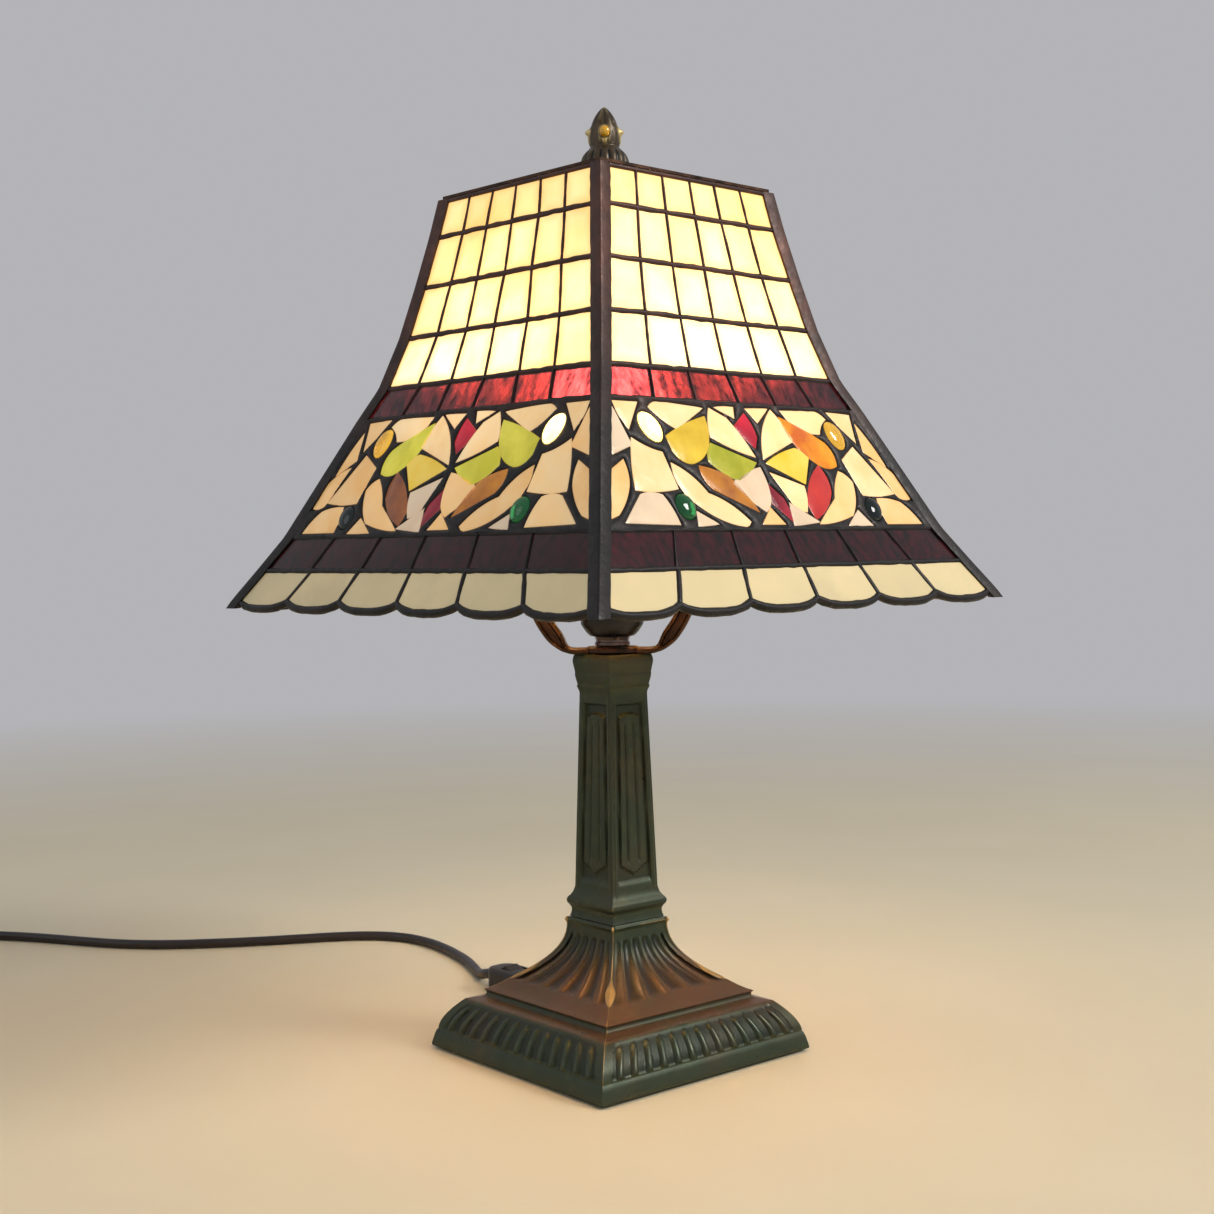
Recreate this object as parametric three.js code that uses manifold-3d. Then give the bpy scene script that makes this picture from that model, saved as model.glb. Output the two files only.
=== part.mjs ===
// Stained glass table lamp: a square bell-shaped leaded shade carried by a harp on a cast column
// and a stepped square foot. Millimetres, +Z up, origin under the middle of the foot.
// Faces of the foot look along X and Y. The lead leaves the foot through its back face (+Y).
import * as THREE from "three";
import { mergeVertices } from "three/addons/utils/BufferGeometryUtils.js";
import Module from "manifold-3d";

const wasm = await Module();
wasm.setup();

// ---------------------------------------------------------------- driving dimensions
const GAP = 0.3; // clearance between pieces that touch

// foot: a hollow casting on a felt pad
const FOOT_SIDE = 150;
const FELT_THICKNESS = 1.5;
const FOOT_RIM_LIFT = 1; // height of the casting's rim above the table
const PLINTH_TOP = 11;
const PLINTH_DRAFT = 2.5; // how far the plinth leans in on each side
const OVOLO_TOP = 28;
const OVOLO_TOP_HALF = 61;
const OVOLO_ROUNDNESS = 1.7;
const STEP_TOP = 34;
const STEP_TOP_HALF = 54;
const STEP_LIP_WIDTH = 1.2;
const STEP_LIP_RISE = 2;
const STEP_DRAFT = 1.4;
const SLOPE_TOP = 39.5;
const SLOPE_TOP_HALF = 43.5;
const COVE_STEPS = 7;
const COVE_HOLLOW = 2.2; // how quickly the hollow above the slope turns upright
const FOOT_TOP = 74.7;
const FOOT_TOP_HALF = 19;
const FOOT_BEAD = 1; // how far the bead round the top of the foot stands out
const FOOT_BEAD_HEIGHT = 3;
const FOOT_WALL = 9;
const CAVITY_TOP = 33.5;
const PLATE_THICKNESS = 1.5;
const BALLAST_THICKNESS = 13;

// column: a square tapered casting
const COLUMN_LENGTH = 146.8;
const SHAFT_BOTTOM_HALF = 16.3;
const SHAFT_TOP_HALF = 13.3;
const COLUMN_WALL = 4;
const PANEL_DEPTH = 1.2;
const PANEL_MARGIN = 4.2; // width left on each side of a recessed panel
const COLUMN_BASE_HEIGHT = 17; // moulding below the shaft
const CAPITAL_HEIGHT = 22; // moulding above the shaft
const PANEL_GAP = 4; // plain shaft left below and above a recessed panel
const PANEL_POINT = 8; // height of the panel's arrow-shaped ends

// threaded rod that ties the lamp together
const ROD_RADIUS = 4.75;
const ROD_BORE_RADIUS = 3;
const ROD_CLEARANCE = 0.45;
const ROD_HOLE_RADIUS = ROD_RADIUS + ROD_CLEARANCE;
const NUT_WALL = 4.4;
const NUT_HEIGHT = 4.5;
const WASHER_WIDTH = 11;
const WASHER_THICKNESS = 1.5;

// harp, socket and bulb
const SADDLE_HALF = 24;
const SADDLE_DISC_WIDTH = 9.8;
const SADDLE_THICKNESS = 3.6;
const HARP_HALF_WIDTH = 54;
const HARP_BAND_WIDTH = 13;
const HARP_BAND_THICKNESS = 2.6;
const HARP_ARM_THICKNESS = 7.8; // where the band leaves the saddle, folded over for stiffness
const HARP_CROWN_LENGTH = 4;
const HARP_CROWN_OVERLAP = 3; // how far the stud reaches down into the crown
const HARP_TURN = THREE.MathUtils.degToRad(-43);
const STUD_RADIUS = 3;
const STUD_LENGTH = 22;
const SEAT_RADIUS = 13;
const SEAT_THICKNESS = 2;
const SOCKET_RING_WIDTH = 4.6;
const SOCKET_RING_HEIGHT = 5;
const SOCKET_WALL = 2.8;
const SOCKET_FLOOR = 4;
const LINER_WALL = 0.8;
const THREAD_CLEARANCE = 0.7; // between the bulb's screw base and the shell it turns in
const BULB_BASE_RADIUS = 12.9;
const BULB_BASE_HEIGHT = 26;
const BULB_RADIUS = 32.5;
const BULB_LENGTH = 138; // base tip to crown

// shade, from the top rim down to the scalloped edge
const SHADE_TURN = THREE.MathUtils.degToRad(3.1); // how the shade rests on its seat
const SHADE_ABOVE_COLUMN = 27.8; // column top to the lowest edge of the shade
const SHADE_TOP_SIDE = 129;
const ROWS = [
  { name: "cream_1", rise: 21, spread: 4 },
  { name: "cream_2", rise: 27.5, spread: 6 },
  { name: "cream_3", rise: 27.5, spread: 6.5 },
  { name: "cream_4", rise: 27.5, spread: 8.5 },
  { name: "ruby", rise: 17, spread: 8.5 },
  { name: "floral", rise: 64, spread: 30 },
  { name: "garnet", rise: 18, spread: 11 },
  { name: "border", rise: 21.5, spread: 13.5 },
];
const TILES = 6; // tiles across one side in every tiled row
const SCALLOP_DEPTH = 6.5;
const GLASS_THICKNESS = 3;
const NET_THICKNESS = 1; // lead net on the outer face of the glass
const LEAD_WIDTH = 2.2;
const CAME_LEG = 6.5; // width of a corner came on each side
const CAME_PROUD = 1;
const CAME_DEPTH = 3;
const RIM_HEIGHT = 2.7;
const RIM_WIDTH = 7;
const CAP_RISE = 9;
const CAP_CENTRE_HALF = 14;
const CAP_THICKNESS = 1.5;
const VENT_RADIUS = 4;

// finial
const FINIAL_HEIGHT = 37.5;
const FINIAL_RADIUS = 13.5;
const GEM_RADIUS = 3.3;
const GEM_DIRECTION = THREE.MathUtils.degToRad(-130); // compass direction the jewel looks in

// lead
const CORD_RADIUS = 3.2;
const INNER_LEAD_RADIUS = 1.8;
const EXIT_X = 30;
const RELIEF_LENGTH = 23;
const SWITCH_START = 108; // distance from the axis of the lamp to the near end of the switch
const SWITCH_LENGTH = 50;
const SWITCH_WIDTH = 22;
const SWITCH_HEIGHT = 16;
const SWITCH_NOSE_LENGTH = 9;
const SWITCH_NOSE_WIDTH = 14;
const EXIT_HEIGHT = SWITCH_HEIGHT / 2;
const ROCKER_LENGTH = 16;
const ROCKER_WIDTH = 11;
const ROCKER_PIVOT_DEPTH = 2.5;
const ROCKER_POCKET = 6.5; // depth of the pocket the rocker moves in
const ROCKER_TILT = THREE.MathUtils.degToRad(8);
const COIL_CENTRE = new THREE.Vector2(-223.4, 528);
const COIL_OUTER_TURN = 42; // radius to the middle of the outermost turn
const COIL_INNER_TURN = 28.8;
const COIL_HEIGHT = 4 * CORD_RADIUS + 0.6; // two layers of turns
const LEAD_HEADING = THREE.MathUtils.degToRad(139.7); // compass direction of the lead at the coil
const TAIL_LENGTH = 62;
const PLUG_LENGTH = 36;
const PLUG_WIDTH = 24;
const PLUG_HEIGHT = 17;
const BLADE_SPACING = 12.7;

// The lead from the switch to the coil, laid by hand along the table.
const LEAD_ROUTE = [
  [30, 158.5, 8],
  [30, 161.5, 7.9],
  [30.9, 168, 6.6],
  [33.4, 176, 4.5],
  [37.2, 185, 3.3],
  [42.5, 197, 3.2],
  [49.5, 214, 3.2],
  [55.6, 235, 3.2],
  [60.4, 258, 3.2],
  [62.4, 282, 3.2],
  [58.6, 305, 3.2],
  [46.6, 324.5, 3.2],
  [27.5, 340, 3.2],
  [3.7, 353.6, 3.2],
  [-23, 368.5, 3.2],
  [-50, 386, 3.2],
  [-75.7, 405.5, 3.2],
  [-97.5, 429, 3.2],
  [-114.8, 457, 3.2],
  [-130.5, 485.5, 3.2],
  [-147, 511.5, 3.2],
];

// ---------------------------------------------------------------- helpers
const lamp = new THREE.Group();
const shade = new THREE.Group();
shade.rotation.z = SHADE_TURN;
lamp.add(shade);

function finish(color, roughness, metalness) {
  return new THREE.MeshStandardMaterial({ color, roughness, metalness });
}

const bronze = finish(0x3a3a2c, 0.5, 0.8);
const copperBronze = finish(0x5a3e2c, 0.45, 0.8);
const lead = finish(0x2b2220, 0.55, 0.6);
const creamGlass = finish(0xf4e3b0, 0.25, 0);
const rubyGlass = finish(0x7a1420, 0.2, 0);
const garnetGlass = finish(0x3a0d12, 0.2, 0);
const floralGlass = finish(0xd9c08a, 0.25, 0);
const steel = finish(0x9a9a96, 0.4, 0.9);
const blackPlastic = finish(0x17120f, 0.45, 0);

function add(group, name, geometry, material) {
  const mesh = new THREE.Mesh(geometry, material);
  mesh.name = name;
  group.add(mesh);
  return mesh;
}

function toSolid(geometry) {
  const bare = new THREE.BufferGeometry();
  const source = geometry.index ? geometry.toNonIndexed() : geometry;
  bare.setAttribute("position", source.getAttribute("position"));
  const merged = mergeVertices(bare, 1e-4);
  return new wasm.Manifold(
    new wasm.Mesh({
      numProp: 3,
      vertProperties: merged.attributes.position.array,
      triVerts: new Uint32Array(merged.index.array),
    }),
  );
}

function toGeometry(solid) {
  const mesh = solid.getMesh();
  const geometry = new THREE.BufferGeometry();
  geometry.setAttribute("position", new THREE.Float32BufferAttribute(mesh.vertProperties, 3));
  geometry.setIndex(new THREE.Uint32BufferAttribute(mesh.triVerts, 1));
  return geometry.toNonIndexed();
}

function cut(geometry, tools) {
  let solid = toSolid(geometry);
  for (const tool of tools) solid = solid.subtract(toSolid(tool));
  return toGeometry(solid);
}

function join(geometries) {
  let solid = toSolid(geometries[0]);
  for (const other of geometries.slice(1)) solid = solid.add(toSolid(other));
  return toGeometry(solid);
}

// A profile of [radius, z] points turned about Z.
function turned(profile, sides) {
  const points = profile.map(([radius, z]) => new THREE.Vector2(radius, z));
  return new THREE.LatheGeometry(points, sides).rotateX(Math.PI / 2);
}

// A profile of [half side, z] points carried round a square, with mitred corners on the diagonals.
function squared(profile) {
  const corners = profile.map(([half, z]) => [half * Math.SQRT2, z]);
  return turned(corners, 4).rotateZ(Math.PI / 4);
}

function sleeve(inner, outer, bottom, top, sides) {
  const profile = [
    [inner, bottom],
    [outer, bottom],
    [outer, top],
    [inner, top],
    [inner, bottom],
  ];
  return turned(profile, sides);
}

function cylinder(radius, bottom, top, sides) {
  const profile = [
    [0, bottom],
    [radius, bottom],
    [radius, top],
    [0, top],
  ];
  return turned(profile, sides);
}

// Rings of points from bottom to top, each anticlockwise seen from above, joined into a closed body.
function loft(rings) {
  const positions = [];
  const triangle = (a, b, c) => positions.push(...a, ...b, ...c);
  for (let level = 0; level + 1 < rings.length; level++) {
    const low = rings[level];
    const high = rings[level + 1];
    low.forEach((corner, i) => {
      const next = (i + 1) % low.length;
      triangle(corner, low[next], high[next]);
      triangle(corner, high[next], high[i]);
    });
  }
  const outline = rings[0].map(([x, y]) => new THREE.Vector2(x, y));
  const top = rings[rings.length - 1];
  for (const [a, b, c] of THREE.ShapeUtils.triangulateShape(outline, [])) {
    triangle(rings[0][a], rings[0][c], rings[0][b]);
    triangle(top[a], top[b], top[c]);
  }
  const geometry = new THREE.BufferGeometry();
  geometry.setAttribute("position", new THREE.Float32BufferAttribute(positions, 3));
  return geometry;
}

function shapeOf(points) {
  return new THREE.Shape(points.map(([x, y]) => new THREE.Vector2(x, y)));
}

function extruded(points, depth) {
  return new THREE.ExtrudeGeometry(shapeOf(points), { depth, bevelEnabled: false });
}

function roundSection(radius, sides) {
  const corner = (i) => {
    const angle = (2 * Math.PI * i) / sides;
    return [radius * Math.cos(angle), radius * Math.sin(angle)];
  };
  return shapeOf(Array.from({ length: sides }, (_, i) => corner(i)));
}

function tube(points, radius, steps) {
  const route = new THREE.CatmullRomCurve3(points.map((p) => new THREE.Vector3(...p)));
  return new THREE.ExtrudeGeometry(roundSection(radius, 8), { steps, extrudePath: route });
}

function rectangle(width, height) {
  return [
    [-width / 2, -height / 2],
    [width / 2, -height / 2],
    [width / 2, height / 2],
    [-width / 2, height / 2],
  ];
}

// ---------------------------------------------------------------- foot
const footHalf = FOOT_SIDE / 2;

function footOutline() {
  const plinthTopHalf = footHalf - PLINTH_DRAFT;
  const profile = [
    [0, FOOT_RIM_LIFT],
    [footHalf, FOOT_RIM_LIFT],
    [plinthTopHalf, PLINTH_TOP],
  ];
  const ovoloWidth = plinthTopHalf - OVOLO_TOP_HALF;
  for (const share of [0.35, 0.65, 0.85, 1]) {
    const half = plinthTopHalf - ovoloWidth * share ** OVOLO_ROUNDNESS;
    profile.push([half, PLINTH_TOP + share * (OVOLO_TOP - PLINTH_TOP)]);
  }
  profile.push([STEP_TOP_HALF + STEP_LIP_WIDTH, OVOLO_TOP + STEP_LIP_RISE]);
  profile.push([STEP_TOP_HALF + STEP_LIP_WIDTH - STEP_DRAFT, STEP_TOP]);
  const beadLow = FOOT_TOP - FOOT_BEAD_HEIGHT;
  for (let i = 0; i <= COVE_STEPS; i++) {
    const share = i / COVE_STEPS;
    const cove = (SLOPE_TOP_HALF - FOOT_TOP_HALF) * (1 - share) ** COVE_HOLLOW;
    profile.push([FOOT_TOP_HALF + cove, SLOPE_TOP + share * (beadLow - SLOPE_TOP)]);
  }
  profile.push([FOOT_TOP_HALF + FOOT_BEAD, FOOT_TOP - FOOT_BEAD_HEIGHT / 2]);
  profile.push([FOOT_TOP_HALF, FOOT_TOP]);
  profile.push([0, FOOT_TOP]);
  return profile;
}

const plateTop = FELT_THICKNESS + GAP + PLATE_THICKNESS;
const cavityRimHalf = footHalf - FOOT_WALL;
const reliefBack = cavityRimHalf - 4; // inner end of the strain relief
const padHalf = cavityRimHalf - 1; // half side of the felt pad and the bottom plate
const cavityTopHalf = STEP_TOP_HALF - FOOT_WALL + 2;
const cavityShoulder = 8; // how far the cavity widens below its top
const ballastTop = CAVITY_TOP - GAP;
const ballastBottom = ballastTop - BALLAST_THICKNESS;
const washerTop = ballastBottom - GAP;
const nutTop = washerTop - WASHER_THICKNESS - GAP;
const nutHole = ROD_HOLE_RADIUS / Math.cos(Math.PI / 6); // corner radius of the hexagonal hole
const rodBottom = nutTop - NUT_HEIGHT - 2;

function foot() {
  const cavity = squared([
    [0, 0],
    [cavityRimHalf, 0],
    [cavityRimHalf - 2, PLINTH_TOP + 3],
    [cavityTopHalf + cavityShoulder, (PLINTH_TOP + CAVITY_TOP) / 2],
    [cavityTopHalf, CAVITY_TOP],
    [0, CAVITY_TOP],
  ]);
  const rodHole = cylinder(ROD_HOLE_RADIUS, CAVITY_TOP - 1, FOOT_TOP + 1, 20);
  const leadHole = cylinder(reliefStemRadius + GAP, footHalf - 20, footHalf + 5, 16)
    .rotateX(-Math.PI / 2)
    .translate(EXIT_X, 0, EXIT_HEIGHT);
  return cut(squared(footOutline()), [cavity, rodHole, leadHole]);
}

function ballast() {
  const half = cavityTopHalf - 2;
  const block = squared([
    [0, ballastBottom],
    [half, ballastBottom],
    [half, ballastTop],
    [0, ballastTop],
  ]);
  return cut(block, [cylinder(ROD_HOLE_RADIUS, ballastBottom - 1, ballastTop + 1, 20)]);
}

function footWasher() {
  const outer = ROD_HOLE_RADIUS + WASHER_WIDTH;
  return sleeve(ROD_HOLE_RADIUS, outer, washerTop - WASHER_THICKNESS, washerTop, 20);
}

function footNut() {
  return sleeve(nutHole, nutHole + NUT_WALL, nutTop - NUT_HEIGHT, nutTop, 6);
}

function slab(half, bottom, top) {
  return squared([
    [0, bottom],
    [half, bottom],
    [half, top],
    [0, top],
  ]);
}

// ---------------------------------------------------------------- column
const columnBottom = FOOT_TOP + GAP;
const columnTop = columnBottom + COLUMN_LENGTH;

function column() {
  const up = (distance) => columnBottom + distance;
  const down = (distance) => columnTop - distance;
  const capitalHalf = SHAFT_TOP_HALF + 2.5;
  const body = squared([
    [0, up(0)],
    [FOOT_TOP_HALF - 0.5, up(0)],
    [FOOT_TOP_HALF - 1.2, up(4)],
    [FOOT_TOP_HALF + 0.8, up(8.2)],
    [FOOT_TOP_HALF + 0.8, up(10.2)],
    [SHAFT_BOTTOM_HALF + 0.8, up(14)],
    [SHAFT_BOTTOM_HALF, up(COLUMN_BASE_HEIGHT)],
    [SHAFT_TOP_HALF, down(CAPITAL_HEIGHT)],
    [SHAFT_TOP_HALF + 1, down(18)],
    [capitalHalf - 0.4, down(10.5)],
    [capitalHalf, down(4)],
    [capitalHalf - 0.7, down(0)],
    [0, down(0)],
  ]);
  const shaftLength = COLUMN_LENGTH - COLUMN_BASE_HEIGHT - CAPITAL_HEIGHT;
  const panelLength = shaftLength - 2 * PANEL_GAP;
  const panelBottomHalf = SHAFT_BOTTOM_HALF - PANEL_MARGIN;
  const panelTopHalf = SHAFT_TOP_HALF - PANEL_MARGIN;
  const outline = [
    [0, 0],
    [panelBottomHalf, PANEL_POINT],
    [panelTopHalf, panelLength - PANEL_POINT],
    [0, panelLength],
    [-panelTopHalf, panelLength - PANEL_POINT],
    [-panelBottomHalf, PANEL_POINT],
  ];
  const taper = Math.atan2(SHAFT_BOTTOM_HALF - SHAFT_TOP_HALF, shaftLength);
  const bore = SHAFT_TOP_HALF - PANEL_DEPTH - COLUMN_WALL;
  const tools = [cylinder(bore, up(-1), down(-1), 20)];
  for (let side = 0; side < 4; side++) {
    const panel = extruded(outline, 6)
      .rotateX(Math.PI / 2 - taper)
      .translate(0, -(SHAFT_BOTTOM_HALF - PANEL_DEPTH), up(COLUMN_BASE_HEIGHT + PANEL_GAP))
      .rotateZ((side * Math.PI) / 2);
    tools.push(panel);
  }
  return cut(body, tools);
}

// ---------------------------------------------------------------- shade: lines and sides
const shadeBottom = columnTop + SHADE_ABOVE_COLUMN;
const shadeHeight = ROWS.reduce((sum, row) => sum + row.rise, 0);
const shadeTop = shadeBottom + shadeHeight;
const panelTop = shadeTop - RIM_HEIGHT - GAP;

// Height and half side of every line between two rows, from the top down.
const lines = [{ z: shadeTop, half: SHADE_TOP_SIDE / 2 }];
for (const row of ROWS) {
  const above = lines[lines.length - 1];
  lines.push({ z: above.z - row.rise, half: above.half + row.spread });
}

function halfAt(z) {
  const found = lines.findIndex((line) => line.z <= z + 1e-6);
  const low = lines[Math.max(found, 1)];
  const high = lines[Math.max(found, 1) - 1];
  return low.half + ((high.half - low.half) * (z - low.z)) / (high.z - low.z);
}

function levelsBetween(bottom, top) {
  const inside = lines.map((line) => line.z).filter((z) => z > bottom + 1 && z < top - 1);
  return [bottom, ...inside.reverse(), top];
}

const edgeAt = (z) => halfAt(z) - CAME_LEG - GAP;

// A bent plate on the front side, between two depths measured inwards from the outer surface.
function sidePlate(bottom, top, outerDepth, innerDepth) {
  const ring = (z) => {
    const edge = edgeAt(z);
    const outer = -(halfAt(z) - outerDepth);
    const inner = -(halfAt(z) - innerDepth);
    return [
      [-edge, outer, z],
      [edge, outer, z],
      [edge, inner, z],
      [-edge, inner, z],
    ];
  };
  return loft(levelsBetween(bottom, top).map(ring));
}

// One row of the front side laid flat: x across the side, y up its slope.
function rowFrame(index) {
  const low = lines[index + 1];
  const high = lines[index];
  const slope = Math.hypot(high.z - low.z, low.half - high.half);
  const up = new THREE.Vector3(0, low.half - high.half, high.z - low.z).divideScalar(slope);
  const across = new THREE.Vector3(1, 0, 0);
  const out = new THREE.Vector3().crossVectors(across, up);
  const matrix = new THREE.Matrix4().makeBasis(across, up, out).setPosition(0, -low.half, low.z);
  const edge = (y) => {
    const half = low.half + ((high.half - low.half) * y) / slope;
    return half - CAME_LEG - GAP;
  };
  return { slope, matrix, edge };
}

// A prism through the front side's plate, from an outline in the row's flat frame.
function rowCutter(frame, outline) {
  const depth = 14;
  return extruded(outline, depth)
    .translate(0, 0, -depth / 2)
    .applyMatrix4(frame.matrix);
}

// Moves every edge of a convex anticlockwise outline inwards.
function inset(outline, distance) {
  const count = outline.length;
  const edges = outline.map(([x, y], i) => {
    const [nextX, nextY] = outline[(i + 1) % count];
    const length = Math.hypot(nextX - x, nextY - y);
    const direction = [(nextX - x) / length, (nextY - y) / length];
    const start = [x - direction[1] * distance, y + direction[0] * distance];
    return { start, direction };
  });
  return edges.map((edge, i) => {
    const previous = edges[(i + count - 1) % count];
    const [dx, dy] = previous.direction;
    const [ex, ey] = edge.direction;
    const turn = dx * ey - dy * ex;
    const offset = [edge.start[0] - previous.start[0], edge.start[1] - previous.start[1]];
    const along = (offset[0] * ey - offset[1] * ex) / turn;
    return [previous.start[0] + dx * along, previous.start[1] + dy * along];
  });
}

function columnLine(frame, index, y) {
  return frame.edge(y) * ((2 * index) / TILES - 1);
}

function tileOutline(frame, index) {
  const top = frame.slope;
  return [
    [columnLine(frame, index, 0), 0],
    [columnLine(frame, index + 1, 0), 0],
    [columnLine(frame, index + 1, top), top],
    [columnLine(frame, index, top), top],
  ];
}

// Lower edge of one border tile: an arc that dips from its two corners.
function scallop(frame, index, raise) {
  const steps = 4;
  const left = columnLine(frame, index, 0);
  const right = columnLine(frame, index + 1, 0);
  return Array.from({ length: steps + 1 }, (_, i) => {
    const s = i / steps;
    const dip = 4 * s * (1 - s);
    return [left + (right - left) * s, raise + SCALLOP_DEPTH * (1 - dip)];
  });
}

function borderOutline(frame, index) {
  const top = frame.slope;
  return [
    ...scallop(frame, index, 0),
    [columnLine(frame, index + 1, top), top],
    [columnLine(frame, index, top), top],
  ];
}

function scallopCutter(frame, raise) {
  const below = -12;
  const outline = [];
  for (let index = 0; index < TILES; index++) {
    const arc = scallop(frame, index, raise);
    outline.push(...(index ? arc.slice(1) : arc));
  }
  const reach = frame.edge(0) + 3;
  const first = outline[0];
  const last = outline[outline.length - 1];
  return rowCutter(frame, [
    [-reach, first[1]],
    ...outline,
    [reach, last[1]],
    [reach, below],
    [-reach, below],
  ]);
}

// Windows of the lead net in one row. The floral row is drawn as a run of leaning bars.
function windows(index, hand) {
  const frame = rowFrame(index);
  const outlines = [];
  for (let tile = 0; tile < TILES; tile++) {
    if (ROWS[index].name === "border") {
      outlines.push(borderOutline(frame, tile));
    } else if (ROWS[index].name === "floral") {
      const [a, b, c, d] = tileOutline(frame, tile);
      const rising = tile % 2 === (hand > 0 ? 0 : 1);
      outlines.push(rising ? [a, b, c] : [a, b, d], rising ? [a, c, d] : [b, c, d]);
    } else {
      outlines.push(tileOutline(frame, tile));
    }
  }
  return outlines.map((outline) => rowCutter(frame, inset(outline, LEAD_WIDTH / 2)));
}

function leadNet(hand) {
  const plate = sidePlate(shadeBottom, panelTop, 0, NET_THICKNESS);
  const tools = ROWS.flatMap((_, index) => windows(index, hand));
  tools.push(scallopCutter(rowFrame(ROWS.length - 1), 0));
  return cut(plate, tools);
}

const glassOuter = NET_THICKNESS + GAP;
const glassInner = glassOuter + GLASS_THICKNESS;

function glassBand(topLine, bottomLine) {
  const top = topLine ? lines[topLine].z - GAP / 2 : panelTop;
  return sidePlate(lines[bottomLine].z + GAP / 2, top, glassOuter, glassInner);
}

function borderGlass() {
  const last = ROWS.length;
  const plate = sidePlate(shadeBottom, lines[last - 1].z - GAP / 2, glassOuter, glassInner);
  return cut(plate, [scallopCutter(rowFrame(last - 1), LEAD_WIDTH / 2)]);
}

function cornerCame() {
  const ring = (z) => {
    const outer = -(halfAt(z) + CAME_PROUD);
    const inner = -(halfAt(z) - CAME_DEPTH);
    const end = -(halfAt(z) - CAME_LEG);
    return [
      [outer, outer, z],
      [end, outer, z],
      [end, inner, z],
      [inner, inner, z],
      [inner, end, z],
      [outer, end, z],
    ];
  };
  return loft(levelsBetween(shadeBottom + SCALLOP_DEPTH / 2, panelTop).map(ring));
}

// ---------------------------------------------------------------- shade: rim, cap and finial
const rimOuter = SHADE_TOP_SIDE / 2 + CAME_PROUD;
const capBottom = shadeTop + GAP;
const capTop = capBottom + CAP_THICKNESS + CAP_RISE;

function topRim() {
  return squared([
    [rimOuter - RIM_WIDTH, shadeTop - RIM_HEIGHT],
    [rimOuter, shadeTop - RIM_HEIGHT],
    [rimOuter, shadeTop],
    [rimOuter - RIM_WIDTH, shadeTop],
    [rimOuter - RIM_WIDTH, shadeTop - RIM_HEIGHT],
  ]);
}

function ventedCap() {
  const edge = rimOuter - 2;
  const sheet = squared([
    [0, capTop - CAP_THICKNESS],
    [CAP_CENTRE_HALF, capTop - CAP_THICKNESS],
    [edge - 3, capBottom],
    [edge, capBottom],
    [edge, capBottom + CAP_THICKNESS],
    [edge - 3, capBottom + CAP_THICKNESS],
    [CAP_CENTRE_HALF, capTop],
    [0, capTop],
  ]);
  const tools = [cylinder(STUD_RADIUS + 1, capBottom - 1, capTop + 1, 16)];
  const ventDistance = (CAP_CENTRE_HALF + edge) / 2;
  for (let side = 0; side < 4; side++) {
    for (const across of [-15, 0, 15]) {
      const vent = cylinder(VENT_RADIUS, capBottom - 1, capTop + 1, 10)
        .translate(across, ventDistance, 0)
        .rotateZ((side * Math.PI) / 2);
      tools.push(vent);
    }
  }
  return cut(sheet, tools);
}

const finialBottom = capTop + GAP;
const gemHeight = finialBottom + FINIAL_HEIGHT - 15;
const waistRadius = FINIAL_RADIUS - 5;

function finial() {
  const up = (distance) => finialBottom + distance;
  const boreTop = seatTop + STUD_LENGTH + 1;
  return turned(
    [
      [0, boreTop],
      [STUD_RADIUS + GAP, boreTop],
      [STUD_RADIUS + GAP, up(0)],
      [FINIAL_RADIUS - 4, up(0)],
      [FINIAL_RADIUS - 1, up(4)],
      [FINIAL_RADIUS, up(9.5)],
      [FINIAL_RADIUS - 1, up(13)],
      [waistRadius, up(16.5)],
      [waistRadius, up(26)],
      [7.2, up(28)],
      [6, up(31.5)],
      [3, up(35)],
      [0, up(FINIAL_HEIGHT)],
    ],
    20,
  );
}

function gem() {
  const flatness = 0.5;
  const distance = waistRadius + GAP + GEM_RADIUS * flatness;
  return new THREE.SphereGeometry(GEM_RADIUS, 10, 8)
    .scale(flatness, 0.85, 1)
    .translate(distance, 0, gemHeight)
    .rotateZ(GEM_DIRECTION);
}

// ---------------------------------------------------------------- harp, socket and bulb
const saddleBottom = columnTop + GAP;
const saddleTop = saddleBottom + SADDLE_THICKNESS;
const seatTop = capTop - CAP_THICKNESS - GAP;
const harpTop = seatTop - SEAT_THICKNESS - GAP;

// Centre line of the harp's right half, from the saddle to the crown.
function harpCurve() {
  const height = harpTop - saddleBottom;
  const at = (x, share) => new THREE.Vector3(x, 0, saddleBottom + share * height);
  return new THREE.CatmullRomCurve3([
    at(SADDLE_HALF, 0.007),
    at(SADDLE_HALF + 5.5, 0.024),
    at(SADDLE_HALF + 15, 0.078),
    at(HARP_HALF_WIDTH - 8, 0.16),
    at(HARP_HALF_WIDTH, 0.33),
    at(HARP_HALF_WIDTH - 4, 0.58),
    at(HARP_HALF_WIDTH - 17, 0.81),
    at(HARP_HALF_WIDTH - 38, 0.96),
    at(4, 0.995),
  ]);
}

// Thickness of the band at a share of the way from the saddle to the crown.
function bandThickness(share) {
  const { lerp, smoothstep } = THREE.MathUtils;
  const arm = lerp(SADDLE_THICKNESS, HARP_ARM_THICKNESS, smoothstep(share, 0, 0.16));
  return lerp(arm, HARP_BAND_THICKNESS, smoothstep(share, 0.32, 0.5));
}

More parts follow.
